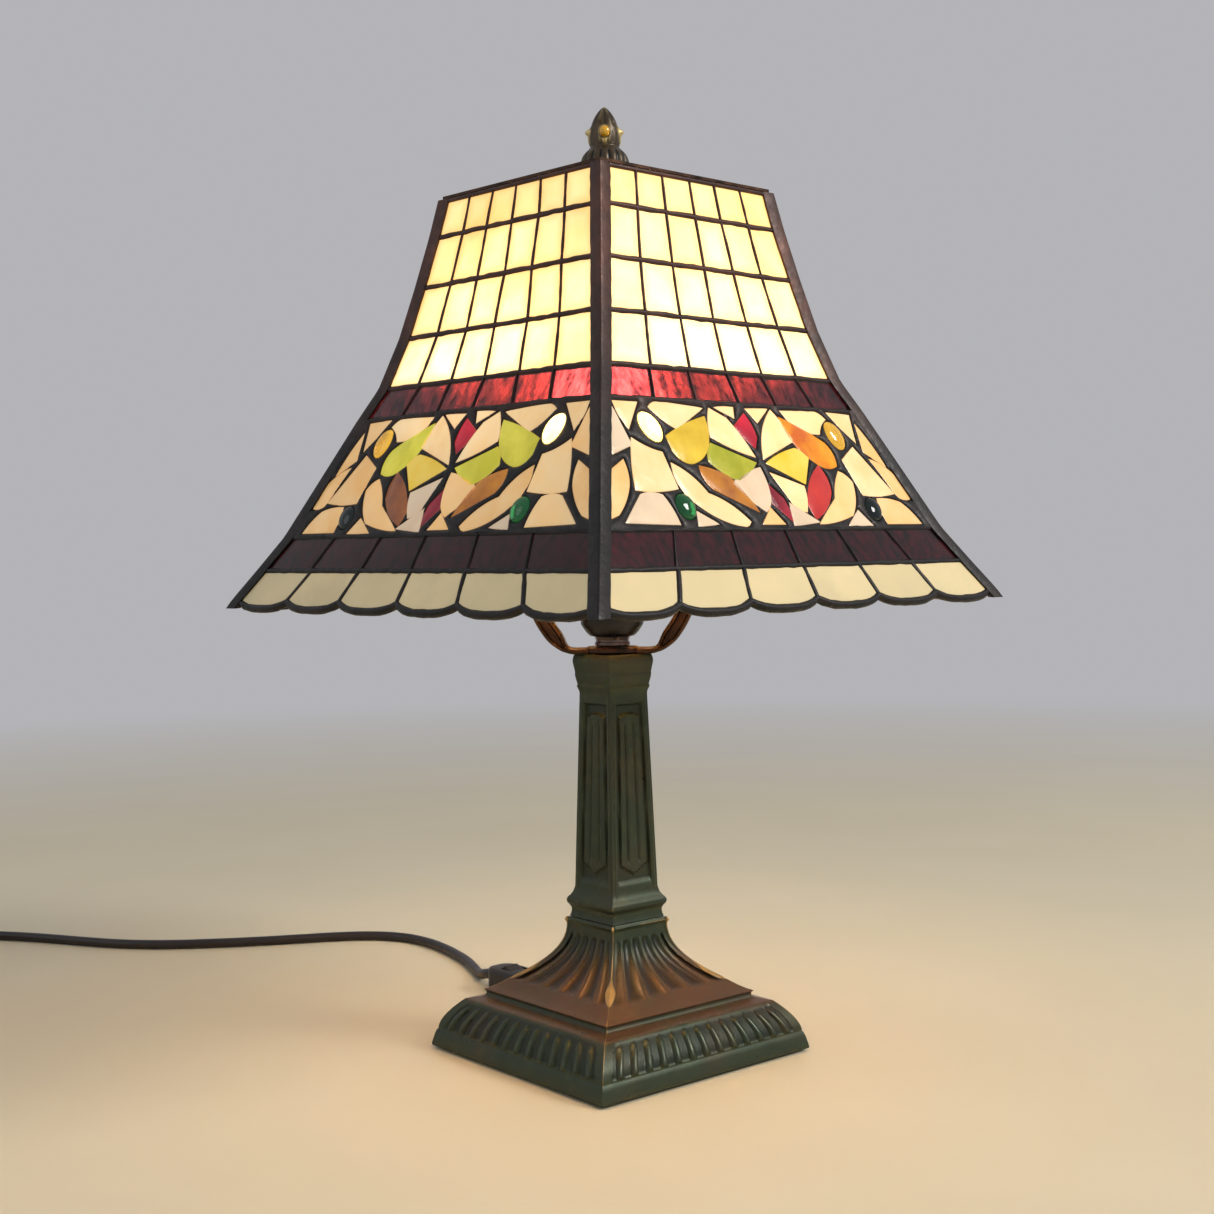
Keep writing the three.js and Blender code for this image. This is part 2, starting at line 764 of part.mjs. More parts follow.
function harp() {
  const samples = 26;
  const curve = harpCurve();
  const outer = [];
  const inner = [];
  for (let i = 0; i <= samples; i++) {
    const point = curve.getPoint(i / samples);
    const tangent = curve.getTangent(i / samples);
    const step = bandThickness(i / samples) / 2;
    outer.push([point.x + tangent.z * step, point.z - tangent.x * step]);
    inner.push([point.x - tangent.z * step, point.z + tangent.x * step]);
  }
  const mirrored = (side) => side.map(([x, z]) => [-x, z]).reverse();
  const loop = shapeOf([...outer, ...mirrored(outer)]);
  loop.holes.push(shapeOf([...inner, ...mirrored(inner)]));
  const band = new THREE.ExtrudeGeometry(loop, { depth: HARP_BAND_WIDTH, bevelEnabled: false })
    .rotateX(Math.PI / 2)
    .translate(0, HARP_BAND_WIDTH / 2, 0);
  const saddle = new THREE.BoxGeometry(2 * SADDLE_HALF + 4, HARP_BAND_WIDTH, SADDLE_THICKNESS)
    .translate(0, 0, saddleBottom + SADDLE_THICKNESS / 2);
  const disc = cylinder(ROD_HOLE_RADIUS + SADDLE_DISC_WIDTH, saddleBottom, saddleTop, 20);
  const crown = cylinder(HARP_BAND_WIDTH / 2, harpTop - HARP_CROWN_LENGTH, harpTop, 16);
  const stud = cylinder(STUD_RADIUS, harpTop - HARP_CROWN_OVERLAP, seatTop + STUD_LENGTH, 16);
  const whole = join([band, saddle, disc, crown, stud]);
  const rodHole = cylinder(ROD_HOLE_RADIUS, saddleBottom - 3, saddleTop + 3, 20);
  return cut(whole, [rodHole]).rotateZ(HARP_TURN);
}

function seatWasher() {
  return sleeve(STUD_RADIUS + GAP, SEAT_RADIUS, harpTop + GAP, seatTop, 20);
}

const linerRadius = BULB_BASE_RADIUS + THREAD_CLEARANCE + LINER_WALL;
const socketRadius = linerRadius + GAP + SOCKET_WALL;
const socketRingBottom = saddleTop + GAP;
const socketBottom = socketRingBottom + SOCKET_RING_HEIGHT + GAP;
const linerBottom = socketBottom + SOCKET_FLOOR + GAP;
const rodTop = linerBottom + 3;
const bulbBottom = rodTop + 8;
const bulbBaseTop = bulbBottom + BULB_BASE_HEIGHT;
const socketTop = bulbBaseTop + 2;

function socketRing() {
  const outer = ROD_HOLE_RADIUS + SOCKET_RING_WIDTH;
  return sleeve(ROD_HOLE_RADIUS, outer, socketRingBottom, socketBottom - GAP, 20);
}

function screwShell() {
  return sleeve(linerRadius - LINER_WALL, linerRadius, linerBottom, bulbBaseTop - 1, 24);
}

function socketShell() {
  return turned(
    [
      [ROD_HOLE_RADIUS, socketBottom],
      [socketRadius - 5, socketBottom],
      [socketRadius, socketBottom + 6],
      [socketRadius, socketTop],
      [linerRadius + GAP, socketTop],
      [linerRadius + GAP, socketBottom + SOCKET_FLOOR],
      [ROD_HOLE_RADIUS, socketBottom + SOCKET_FLOOR],
      [ROD_HOLE_RADIUS, socketBottom],
    ],
    24,
  );
}

function bulbBase() {
  return turned(
    [
      [0, bulbBottom],
      [4.5, bulbBottom],
      [BULB_BASE_RADIUS, bulbBottom + 5],
      [BULB_BASE_RADIUS, bulbBaseTop],
      [0, bulbBaseTop],
    ],
    20,
  );
}

function bulbGlobe() {
  const bottom = bulbBaseTop + GAP;
  const centre = bulbBottom + BULB_LENGTH - BULB_RADIUS;
  const profile = [
    [0, bottom],
    [BULB_BASE_RADIUS + 0.6, bottom],
    [BULB_BASE_RADIUS + 1.6, bottom + 10],
    [BULB_RADIUS * 0.72, centre - BULB_RADIUS * 0.95],
  ];
  const steps = 8;
  const start = THREE.MathUtils.degToRad(-32);
  for (let i = 0; i <= steps; i++) {
    const angle = start + ((Math.PI / 2 - start) * i) / steps;
    const radius = i === steps ? 0 : BULB_RADIUS * Math.cos(angle);
    profile.push([radius, centre + BULB_RADIUS * Math.sin(angle)]);
  }
  return turned(profile, 24);
}

// ---------------------------------------------------------------- lead, switch, coil and plug
const reliefStemRadius = CORD_RADIUS + 0.9;
const reliefFlange = footHalf + GAP;
const reliefEnd = reliefFlange + RELIEF_LENGTH;
const switchEnd = SWITCH_START + SWITCH_LENGTH;

// A profile of [radius, y] points turned about the line on which the lead leaves the foot.
function alongExit(profile, sides) {
  return turned(profile, sides)
    .rotateX(-Math.PI / 2)
    .translate(EXIT_X, 0, EXIT_HEIGHT);
}

function strainRelief() {
  return alongExit(
    [
      [0, reliefBack],
      [reliefStemRadius, reliefBack],
      [reliefStemRadius, reliefFlange],
      [reliefStemRadius + 1.7, reliefFlange],
      [reliefStemRadius + 1.5, reliefFlange + 2.5],
      [CORD_RADIUS + 0.5, reliefEnd],
      [0, reliefEnd],
    ],
    16,
  );
}

// Lead inside the lamp: under the ballast, then up the bore of the rod.
function innerLead() {
  const low = plateTop + 3.4;
  const start = reliefBack - 2 * GAP;
  const points = [
    [EXIT_X, start, EXIT_HEIGHT],
    [EXIT_X, start - 3, EXIT_HEIGHT],
    [EXIT_X - 4, start - 14, low + 0.4],
    [EXIT_X * 0.5, start * 0.5, low],
    [4, 7, low],
    [0, 0, low],
  ];
  const riser = cylinder(INNER_LEAD_RADIUS, low - INNER_LEAD_RADIUS, rodTop + 2, 8);
  return join([tube(points, INNER_LEAD_RADIUS, 14), riser]);
}

const rockerCentre = (SWITCH_START + switchEnd) / 2;
const rockerPivotHeight = SWITCH_HEIGHT - ROCKER_PIVOT_DEPTH;

function switchBody() {
  const half = SWITCH_LENGTH / 2;
  const shoulder = half - SWITCH_NOSE_LENGTH;
  const side = SWITCH_WIDTH / 2;
  const nose = SWITCH_NOSE_WIDTH / 2;
  const outline = [
    [-nose, -half],
    [nose, -half],
    [side, -shoulder],
    [side, shoulder],
    [nose, half],
    [-nose, half],
    [-side, shoulder],
    [-side, -shoulder],
  ];
  const body = extruded(outline, SWITCH_HEIGHT).translate(EXIT_X, rockerCentre, 0);
  const pocket = new THREE.BoxGeometry(ROCKER_WIDTH + 1, ROCKER_LENGTH + 2, 2 * ROCKER_POCKET)
    .translate(EXIT_X, rockerCentre, SWITCH_HEIGHT);
  return cut(body, [pocket]);
}

// A rocker with a shallow V top, tipped to one side.
function switchRocker() {
  const half = ROCKER_LENGTH / 2;
  const heel = half - 2;
  const rise = 3.4; // of the two ends above the pivot
  const dip = 1.9; // of the middle above the pivot
  const keel = -1.6;
  const outline = [
    [-half, rise],
    [-heel, keel],
    [heel, keel],
    [half, rise],
    [0, dip],
  ];
  return extruded(outline, ROCKER_WIDTH)
    .rotateZ(ROCKER_TILT)
    .rotateX(Math.PI / 2)
    .rotateZ(Math.PI / 2)
    .translate(EXIT_X - ROCKER_WIDTH / 2, rockerCentre, rockerPivotHeight);
}

const coilEase = 0.4; // slack in the turns
const coilInside = COIL_INNER_TURN - CORD_RADIUS - coilEase;
const coilOutside = COIL_OUTER_TURN + CORD_RADIUS + coilEase;
const headingX = Math.cos(LEAD_HEADING);
const headingY = Math.sin(LEAD_HEADING);
// Distance from a tangent point at which a straight lead is clear of the coil.
const coilClearance = 26;

// A point beside the coil: ahead along the lead's heading, and out to its right.
function besideCoil(ahead, right) {
  return [
    COIL_CENTRE.x + headingX * ahead + headingY * right,
    COIL_CENTRE.y + headingY * ahead - headingX * right,
  ];
}

function leadToSwitch() {
  const start = [EXIT_X, reliefEnd + GAP, EXIT_HEIGHT];
  const end = [EXIT_X, SWITCH_START - GAP, EXIT_HEIGHT];
  return tube([start, end], CORD_RADIUS, 2);
}

function leadToCoil() {
  const start = besideCoil(-coilClearance - 16, COIL_OUTER_TURN);
  const end = besideCoil(-coilClearance, COIL_OUTER_TURN);
  return tube([...LEAD_ROUTE, [...start, CORD_RADIUS], [...end, CORD_RADIUS]], CORD_RADIUS, 40);
}

function coil() {
  return sleeve(coilInside, coilOutside, 0, COIL_HEIGHT, 32).translate(
    COIL_CENTRE.x,
    COIL_CENTRE.y,
    0,
  );
}

// A strap over the coil, standing astride it.
function coilTie() {
  const thickness = 1.2;
  const inner = coilInside - GAP - 1;
  const outer = coilOutside + GAP + 0.4;
  const top = COIL_HEIGHT + GAP;
  const outline = [
    [inner - thickness, 0],
    [inner, 0],
    [inner, top],
    [outer, top],
    [outer, 0],
    [outer + thickness, 0],
    [outer + thickness, top + thickness],
    [inner - thickness, top + thickness],
  ];
  const width = 7;
  return extruded(outline, width)
    .translate(0, 0, -width / 2)
    .rotateX(Math.PI / 2)
    .rotateZ(LEAD_HEADING + (5 * Math.PI) / 6)
    .translate(COIL_CENTRE.x, COIL_CENTRE.y, 0);
}

// The tail leaves the coil on the side away from the lamp and runs back beside it.
const tailSide = COIL_OUTER_TURN;
const layerHeight = 3 * CORD_RADIUS + 0.2; // middle of the upper layer of turns

function tailPoint(distance, height) {
  const [x, y] = besideCoil(tailSide, -distance);
  return [x, y, height];
}

function tail() {
  return tube(
    [
      tailPoint(coilClearance, layerHeight - 1.4),
      tailPoint(coilClearance + 10, layerHeight - 1.2),
      tailPoint(coilClearance + 20, PLUG_HEIGHT / 2),
      tailPoint(TAIL_LENGTH - 6, PLUG_HEIGHT / 2),
      tailPoint(TAIL_LENGTH, PLUG_HEIGHT / 2),
    ],
    CORD_RADIUS,
    10,
  );
}

// Puts a piece modelled with +X along the plug at the end of the tail.
function atPlug(geometry) {
  const [x, y] = besideCoil(tailSide, -TAIL_LENGTH - GAP);
  return geometry.rotateZ(LEAD_HEADING + Math.PI / 2).translate(x, y, PLUG_HEIGHT / 2);
}

function plugBody() {
  const half = PLUG_WIDTH / 2;
  const outline = [
    [0, -5.5],
    [PLUG_LENGTH * 0.45, -half + 2],
    [PLUG_LENGTH * 0.6, -half],
    [PLUG_LENGTH, -half],
    [PLUG_LENGTH, half],
    [PLUG_LENGTH * 0.6, half],
    [PLUG_LENGTH * 0.45, half - 2],
    [0, 5.5],
  ];
  return atPlug(extruded(outline, PLUG_HEIGHT).translate(0, 0, -PLUG_HEIGHT / 2));
}

function plugBlade(side) {
  const length = 16;
  const blade = new THREE.BoxGeometry(length, 1.5, 6.3).translate(
    PLUG_LENGTH + GAP + length / 2,
    (side * BLADE_SPACING) / 2,
    0,
  );
  return atPlug(blade);
}

// ---------------------------------------------------------------- assembly
add(lamp, "felt_pad", slab(padHalf, 0, FELT_THICKNESS), finish(0x2d3b2a, 1, 0));
add(lamp, "bottom_plate", slab(padHalf, FELT_THICKNESS + GAP, plateTop), steel);
add(lamp, "foot", foot(), bronze);
add(lamp, "ballast_weight", ballast(), finish(0x4a4a4c, 0.8, 0.6));
add(lamp, "foot_washer", footWasher(), steel);
add(lamp, "foot_nut", footNut(), steel);
add(lamp, "threaded_rod", sleeve(ROD_BORE_RADIUS, ROD_RADIUS, rodBottom, rodTop, 16), steel);
add(lamp, "column", column(), bronze);
add(lamp, "harp", harp(), copperBronze);
add(lamp, "harp_seat_washer", seatWasher(), copperBronze);
add(lamp, "socket_ring", socketRing(), finish(0xb9a9a2, 0.5, 0));
add(lamp, "socket_shell", socketShell(), blackPlastic);
add(lamp, "socket_screw_shell", screwShell(), finish(0xb08d4a, 0.35, 0.9));
add(lamp, "bulb_base", bulbBase(), finish(0xc9c9c6, 0.35, 0.9));
add(lamp, "bulb_globe", bulbGlobe(), finish(0xfff4dc, 0.3, 0));

const sides = ["front", "right", "back", "left"];
sides.forEach((side, index) => {
  const hand = index % 2 ? -1 : 1; // neighbouring sides mirror each other
  const turn = (index * Math.PI) / 2;
  const pieces = [
    ["cream_panel", glassBand(0, 4), creamGlass],
    ["ruby_strip", glassBand(4, 5), rubyGlass],
    ["floral_panel", glassBand(5, 6), floralGlass],
    ["garnet_strip", glassBand(6, 7), garnetGlass],
    ["border_panel", borderGlass(), creamGlass],
    ["lead_net", leadNet(hand), lead],
    ["corner_came", cornerCame(), lead],
  ];
  for (const [name, geometry, material] of pieces) {
    add(shade, `${name}_${side}`, geometry, material).rotation.z = turn;
  }
});
add(shade, "top_rim", topRim(), lead);
add(shade, "vented_cap", ventedCap(), copperBronze);
add(lamp, "finial", finial(), copperBronze);
add(lamp, "finial_gem", gem(), finish(0xd8a020, 0.15, 0));

add(lamp, "strain_relief", strainRelief(), blackPlastic);
add(lamp, "inner_lead", innerLead(), blackPlastic);
add(lamp, "lead_foot_to_switch", leadToSwitch(), blackPlastic);
add(lamp, "switch_body", switchBody(), blackPlastic);
add(lamp, "switch_rocker", switchRocker(), blackPlastic);
add(lamp, "lead_to_coil", leadToCoil(), blackPlastic);
add(lamp, "lead_coil", coil(), blackPlastic);
add(lamp, "coil_tie", coilTie(), blackPlastic);
add(lamp, "lead_tail", tail(), blackPlastic);
add(lamp, "plug_body", plugBody(), blackPlastic);
add(lamp, "plug_blade_left", plugBlade(-1), finish(0xc8b060, 0.3, 1));
add(lamp, "plug_blade_right", plugBlade(1), finish(0xc8b060, 0.3, 1));

export default lamp;
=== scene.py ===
import math
import random

import bmesh
import bpy
import numpy as np
from mathutils import Matrix, Vector
from mathutils.geometry import delaunay_2d_cdt


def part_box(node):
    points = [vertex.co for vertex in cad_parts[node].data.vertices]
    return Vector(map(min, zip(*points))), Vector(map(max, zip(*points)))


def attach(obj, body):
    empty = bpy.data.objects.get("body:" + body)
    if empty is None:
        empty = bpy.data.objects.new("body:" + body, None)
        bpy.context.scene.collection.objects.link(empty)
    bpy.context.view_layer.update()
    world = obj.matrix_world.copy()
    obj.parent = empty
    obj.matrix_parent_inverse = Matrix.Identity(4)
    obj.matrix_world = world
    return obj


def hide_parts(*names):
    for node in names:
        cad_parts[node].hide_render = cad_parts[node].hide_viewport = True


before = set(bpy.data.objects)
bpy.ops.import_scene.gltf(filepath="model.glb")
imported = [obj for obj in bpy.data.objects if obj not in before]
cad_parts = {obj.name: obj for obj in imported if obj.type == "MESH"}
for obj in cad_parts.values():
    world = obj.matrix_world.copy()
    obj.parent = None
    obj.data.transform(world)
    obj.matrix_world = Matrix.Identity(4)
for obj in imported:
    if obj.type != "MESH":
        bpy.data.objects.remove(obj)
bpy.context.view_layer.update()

# Stained glass table lamp. Shapes are written in millimetres in the lamp's own frame
# (origin under the middle of the foot, +Z up) and become metres when a mesh is made.
MM = 0.001
chance = random.Random(7)

SIDES = ["front", "right", "back", "left"]  # each a quarter turn on from the one before


def cad_low(node, axis=2):
    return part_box(node)[0][axis] / MM


def cad_high(node, axis=2):
    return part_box(node)[1][axis] / MM


# ---------------------------------------------------------------- camera
CAMERA_PLACE = Vector((-620.1, -730.6, 281.7)) * MM
CAMERA_HEADING = math.atan2(0.7624, 0.6471)  # compass direction from the camera to the lamp
CAMERA_PAN = math.radians(0.163)  # aimed a little to the left of the lamp's axis
CAMERA_DIP = math.radians(2.04)
CAMERA_ROLL = math.radians(-0.911)
SENSOR = 36.0
LENS = 51.23


def add_camera():
    data = bpy.data.cameras.new("camera")
    data.sensor_width = SENSOR
    data.lens = LENS
    data.clip_start = 0.01
    data.clip_end = 50
    camera = bpy.data.objects.new("camera", data)
    bpy.context.scene.collection.objects.link(camera)
    turn = CAMERA_HEADING + CAMERA_PAN - math.pi / 2
    upright = Matrix.Rotation(turn, 4, "Z") @ Matrix.Rotation(math.pi / 2 - CAMERA_DIP, 4, "X")
    camera.matrix_world = (
        Matrix.Translation(CAMERA_PLACE) @ upright @ Matrix.Rotation(CAMERA_ROLL, 4, "Z")
    )
    bpy.context.scene.camera = camera


add_camera()


# ---------------------------------------------------------------- material helpers
def srgb(red, green, blue):
    """A colour as seen on a screen, 0 to 255, as linear light."""

    def linear(value):
        value /= 255
        return value / 12.92 if value <= 0.04045 else ((value + 0.055) / 1.055) ** 2.4

    return (linear(red), linear(green), linear(blue), 1.0)


class Finish:
    """A material with one Principled shader and short ways to add nodes to it."""

    def __init__(self, name, **sockets):
        self.material = bpy.data.materials.new(name)
        self.material.use_nodes = True
        self.tree = self.material.node_tree
        self.shader = self.tree.nodes["Principled BSDF"]
        for socket, value in sockets.items():
            self.shader.inputs[socket.replace("_", " ")].default_value = value

    def node(self, kind, inputs=None, **settings):
        made = self.tree.nodes.new("ShaderNode" + kind)
        for key, value in settings.items():
            setattr(made, key, value)
        for key, value in (inputs or {}).items():
            if isinstance(value, bpy.types.NodeSocket):
                self.tree.links.new(value, made.inputs[key])
            else:
                made.inputs[key].default_value = value
        return made

    def drive(self, socket, output):
        self.tree.links.new(output, self.shader.inputs[socket])

    def place(self, stretch=(1, 1, 1)):
        """The point on the lamp, in metres, scaled along each axis."""
        here = self.node("TexCoord").outputs["Object"]
        return self.node("Mapping", {"Vector": here, "Scale": stretch}).outputs["Vector"]

    def noise(self, scale, detail=4, stretch=(1, 1, 1), roughness=0.55):
        settings = {
            "Vector": self.place(stretch),
            "Scale": scale,
            "Detail": detail,
            "Roughness": roughness,
        }
        return self.node("TexNoise", settings).outputs["Fac"]

    def level(self, value, low, high, out_low=0, out_high=1):
        settings = {
            "Value": value,
            "From Min": low,
            "From Max": high,
            "To Min": out_low,
            "To Max": out_high,
        }
        return self.node("MapRange", settings, clamp=True).outputs["Result"]

    def mix(self, share, first, second):
        made = self.node("Mix", data_type="RGBA")
        for socket, value in ((0, share), (6, first), (7, second)):
            if isinstance(value, bpy.types.NodeSocket):
                self.tree.links.new(value, made.inputs[socket])
            else:
                made.inputs[socket].default_value = value
        return made.outputs[2]

    def maths(self, operation, first, second):
        return self.node("Math", {0: first, 1: second}, operation=operation).outputs[0]

    def attribute(self, name):
        return self.node("Attribute", attribute_name=name)

    def bump(self, height, distance, strength=1.0):
        settings = {"Height": height, "Distance": distance, "Strength": strength}
        self.drive("Normal", self.node("Bump", settings).outputs["Normal"])


# ---------------------------------------------------------------- metals, plastics and felt
def patinated_bronze(name, dark, brown, worn, green, black):
    """Cast bronze: dark patina with brown drifts, worn bright where the relief stands out
    and nearly black in the hollows. Reads the point values "relief", 0 in a hollow and 1 on an edge,
    and "warmth", the share of brown: patina, and on the foot also painted warm light from the bulb."""
    finish = Finish(name, Metallic=0.5)
    relief = finish.attribute("relief").outputs["Fac"]
    warmth = finish.attribute("warmth").outputs["Fac"]
    drift = finish.level(finish.noise(22, 5), 0.35, 0.7, -0.22, 0.3)
    # ground: patina between dark and brown; on the foot the brown also paints the warm light of the bulb
    ground = finish.mix(finish.maths("ADD", warmth, drift), dark, brown)
    speckle = finish.level(finish.noise(120, 5, roughness=0.6), 0.5, 0.85, 0, 0.5)
    stained = finish.mix(finish.level(relief, 0.3, 0.06), finish.mix(speckle, ground, green), black)
    rubbed = finish.maths("ADD", relief, finish.level(finish.noise(70, 4), 0.3, 0.7, -0.12, 0.12))
    finish.drive("Base Color", finish.mix(finish.level(rubbed, 0.62, 0.98), stained, worn))
    finish.drive("Roughness", finish.level(finish.noise(130, 5), 0.3, 0.7, 0.27, 0.46))
    finish.bump(finish.noise(420, 5, roughness=0.6), 0.0003, 0.35)
    return finish.material


def worn_metal(name, colour, shade, metallic, rough_low, rough_high, grain=300):
    """Metal clouded between two colours, with scuffs that vary its roughness."""
    finish = Finish(name, Metallic=metallic)
    cloud = finish.level(finish.noise(grain * 0.25, 5), 0.35, 0.68)
    finish.drive("Base Color", finish.mix(cloud, shade, colour))
    scuff = finish.noise(grain, 5, roughness=0.65)
    finish.drive("Roughness", finish.level(scuff, 0.3, 0.7, rough_low, rough_high))
    finish.bump(scuff, 0.0002, 0.4)
    return finish.material


def moulded_plastic(name, colour, shade, roughness, grain=900):
    """Plastic clouded between two colours, with a fine pebbled surface."""
    finish = Finish(name, Specular_IOR_Level=0.45)
    cloud = finish.level(finish.noise(60, 4), 0.3, 0.7)
    finish.drive("Base Color", finish.mix(cloud, shade, colour))
    pebble = finish.noise(grain, 3, roughness=0.5)
    finish.drive("Roughness", finish.level(pebble, 0.3, 0.7, roughness - 0.08, roughness + 0.1))
    finish.bump(pebble, 0.0001, 0.5)
    return finish.material


LEAD_LIT_HEIGHTS = (0.33, 0.42)  # heights between which the lead is painted from black to brown, the light of the lit glass on it


def solder(name):
    """Hand-run solder under a dark patina, painted brown high on the shade where the lit glass lights it,
    with small lighter specks.
    """
    finish = Finish(name, Metallic=0.4)
    drift = finish.level(finish.noise(55, 5), 0.4, 0.7)
    # painted light: the lead turns brown with height, where the lit glass round it lights it
    high = finish.node("SeparateXYZ", {"Vector": finish.place()}).outputs["Z"]
    lit_by_glass = finish.level(high, *LEAD_LIT_HEIGHTS)
    plain = finish.mix(drift, srgb(20, 18, 17), srgb(38, 31, 28))
    ground = finish.mix(lit_by_glass, plain, finish.mix(drift, srgb(58, 36, 30), srgb(88, 54, 42)))
    # glint: small lighter specks, worn spots of the solder with a painted highlight on them
    glint = finish.level(finish.noise(420, 5, roughness=0.7), 0.62, 0.85)
    finish.drive("Base Color", finish.mix(glint, ground, srgb(104, 78, 62)))
    finish.drive("Roughness", finish.level(finish.noise(240, 4), 0.3, 0.7, 0.36, 0.56))
    finish.bump(finish.noise(210, 5, roughness=0.6), 0.0006, 0.6)
    return finish.material


def felt(name):
    finish = Finish(name, Roughness=1.0, Sheen_Weight=0.4, Sheen_Roughness=0.6)
    fibre = finish.noise(1500, 6, roughness=0.8)
    finish.drive("Base Color", finish.mix(fibre, srgb(30, 42, 30), srgb(62, 78, 58)))
    finish.bump(fibre, 0.0004, 0.8)
    return finish.material


# ---------------------------------------------------------------- glass
BULB_RADIUS = 32.5
BULB_CENTRE = (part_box("bulb_globe")[0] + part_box("bulb_globe")[1]) / 2
BULB_CENTRE.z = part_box("bulb_globe")[1].z - BULB_RADIUS * MM
GLOW_DISTANCE = 0.080  # distance from the bulb at which a pane glows at its stated strength
GLOW_FALL = 1.9  # power of the distance with which the glow falls
STREAKY_FALL = 2.6  # the same for the dark, streaky glass
PLAIN = (1, 1, 1)
STREAKS_UP = (1, 1, 0.18)


def art_glass(name, glow, wisp_scale, edge, wisp_stretch=PLAIN, fall=GLOW_FALL, **sockets):
    """Glass lit from behind by the bulb, its glow painted: an emission that falls with distance from the
    bulb.
    Each pane has two tints, "tint" and "tint2", that drift into each other, and "rim", 1 at the
    pane's edge, where the glow takes the darker colour `edge`: painted shade from the lead round the pane."""
    finish = Finish(name, **sockets)
    wisps = finish.level(finish.noise(wisp_scale, 4, wisp_stretch), 0.36, 0.66)
    tint = finish.mix(wisps, finish.attribute("tint").outputs[0], finish.attribute("tint2").outputs[0])
    finish.drive("Base Color", tint)
    # painted shade: near each pane's edge the glow takes the darker edge colour, unevenly, where the lead
    # shades it
    rim = finish.attribute("rim").outputs["Fac"]
    uneven = finish.level(finish.noise(60, 3), 0.35, 0.7, 0.5, 1.0)
    lit = finish.mix(finish.maths("MULTIPLY", rim, uneven), tint, edge)
    finish.drive("Emission Color", lit)
    # painted light: the glow's strength falls with distance from the bulb
    here = finish.node("TexCoord").outputs["Object"]
    apart = finish.node("VectorMath", {0: here, 1: BULB_CENTRE}, operation="DISTANCE")
    near = finish.maths("DIVIDE", GLOW_DISTANCE, apart.outputs["Value"])
    strength = finish.maths("MULTIPLY", finish.maths("POWER", near, fall), glow)
    drift = finish.level(finish.noise(24, 2), 0.3, 0.7, 0.82, 1.12)
    finish.drive("Emission Strength", finish.maths("MULTIPLY", strength, drift))
    finish.bump(finish.noise(150, 3, wisp_stretch), 0.0006, 0.35)
    return finish.material


# Edge colours of the glow, here and for the ruby and garnet glass below: painted shade along the edges of
# the panes.
amber_edge_shade = srgb(242, 168, 74)
border_edge_shade = srgb(200, 160, 90)
floral_edge_shade = srgb(196, 110, 60)
jewel_edge_shade = srgb(60, 40, 10)
cream_glass = art_glass("cream_glass", glow=2.05, wisp_scale=30, edge=amber_edge_shade, Roughness=0.22)
border_glass = art_glass("border_glass", glow=0.42, wisp_scale=30, edge=border_edge_shade, Roughness=0.22)
floral_glass = art_glass("floral_glass", glow=0.74, wisp_scale=45, edge=floral_edge_shade, Roughness=0.2)
ruby_glass = art_glass(
    "ruby_glass",
    glow=0.16,
    wisp_scale=240,
    wisp_stretch=STREAKS_UP,
    edge=srgb(70, 8, 16),
    fall=STREAKY_FALL,
    Roughness=0.2,
    Transmission_Weight=0.85,
)
garnet_glass = art_glass(
    "garnet_glass",
    glow=0.12,
    wisp_scale=240,
    wisp_stretch=STREAKS_UP,
    edge=srgb(30, 6, 10),
    fall=STREAKY_FALL,
    Roughness=0.24,
    Transmission_Weight=0.2,
    Specular_IOR_Level=0.3,
)
jewel_glass = art_glass(
    "jewel_glass", glow=4.2, wisp_scale=60, edge=jewel_edge_shade, Roughness=0.08, Transmission_Weight=0.6
)


def bulb_glass():
    finish = Finish("bulb_glass", Roughness=0.35)
    cloud = finish.noise(40, 2)
    finish.drive("Base Color", finish.mix(cloud, srgb(250, 238, 214), srgb(255, 247, 232)))
    finish.drive("Emission Color", finish.mix(cloud, srgb(255, 222, 176), srgb(255, 230, 192)))
    finish.shader.inputs["Emission Strength"].default_value = 24.0
    return finish.material


SOOT = srgb(20, 21, 16)
bronze = patinated_bronze(
    "patinated_bronze",
    dark=srgb(50, 60, 44),
    brown=srgb(98, 68, 46),
    worn=srgb(190, 152, 88),
    green=srgb(76, 86, 54),
    black=SOOT,
)
finial_bronze = patinated_bronze(
    "finial_bronze",
    dark=srgb(46, 40, 31),
    brown=srgb(92, 74, 50),
    worn=srgb(216, 192, 130),
    green=srgb(54, 50, 38),
    black=SOOT,
)
copper = worn_metal("copper_bronze", srgb(92, 62, 43), srgb(36, 25, 20), 0.75, 0.28, 0.46)
lead = solder("leadwork")
steel = worn_metal("steel_hardware", srgb(168, 168, 164), srgb(112, 110, 104), 0.95, 0.25, 0.45)
iron = worn_metal("cast_ballast", srgb(78, 78, 80), srgb(46, 45, 45), 0.6, 0.6, 0.85, 700)
brass = worn_metal("brass_shell", srgb(206, 168, 92), srgb(150, 112, 54), 0.95, 0.24, 0.42)
cap_metal = worn_metal("bulb_cap", srgb(208, 208, 204), srgb(158, 156, 150), 0.95, 0.22, 0.4)
plug_metal = worn_metal("plug_metal", srgb(216, 190, 120), srgb(170, 140, 80), 1.0, 0.2, 0.36)
black_socket = moulded_plastic("black_socket", srgb(17, 14, 13), srgb(11, 9, 9), 0.34)
black_plastic = moulded_plastic("black_plastic", srgb(34, 28, 25), srgb(22, 18, 17), 0.46)
lead_sheath = moulded_plastic("lead_sheath", srgb(38, 27, 23), srgb(26, 18, 16), 0.4, 500)
collar = worn_metal("socket_collar", srgb(132, 122, 122), srgb(84, 74, 74), 0.85, 0.22, 0.4)
green_felt = felt("felt")
white_glass = bulb_glass()


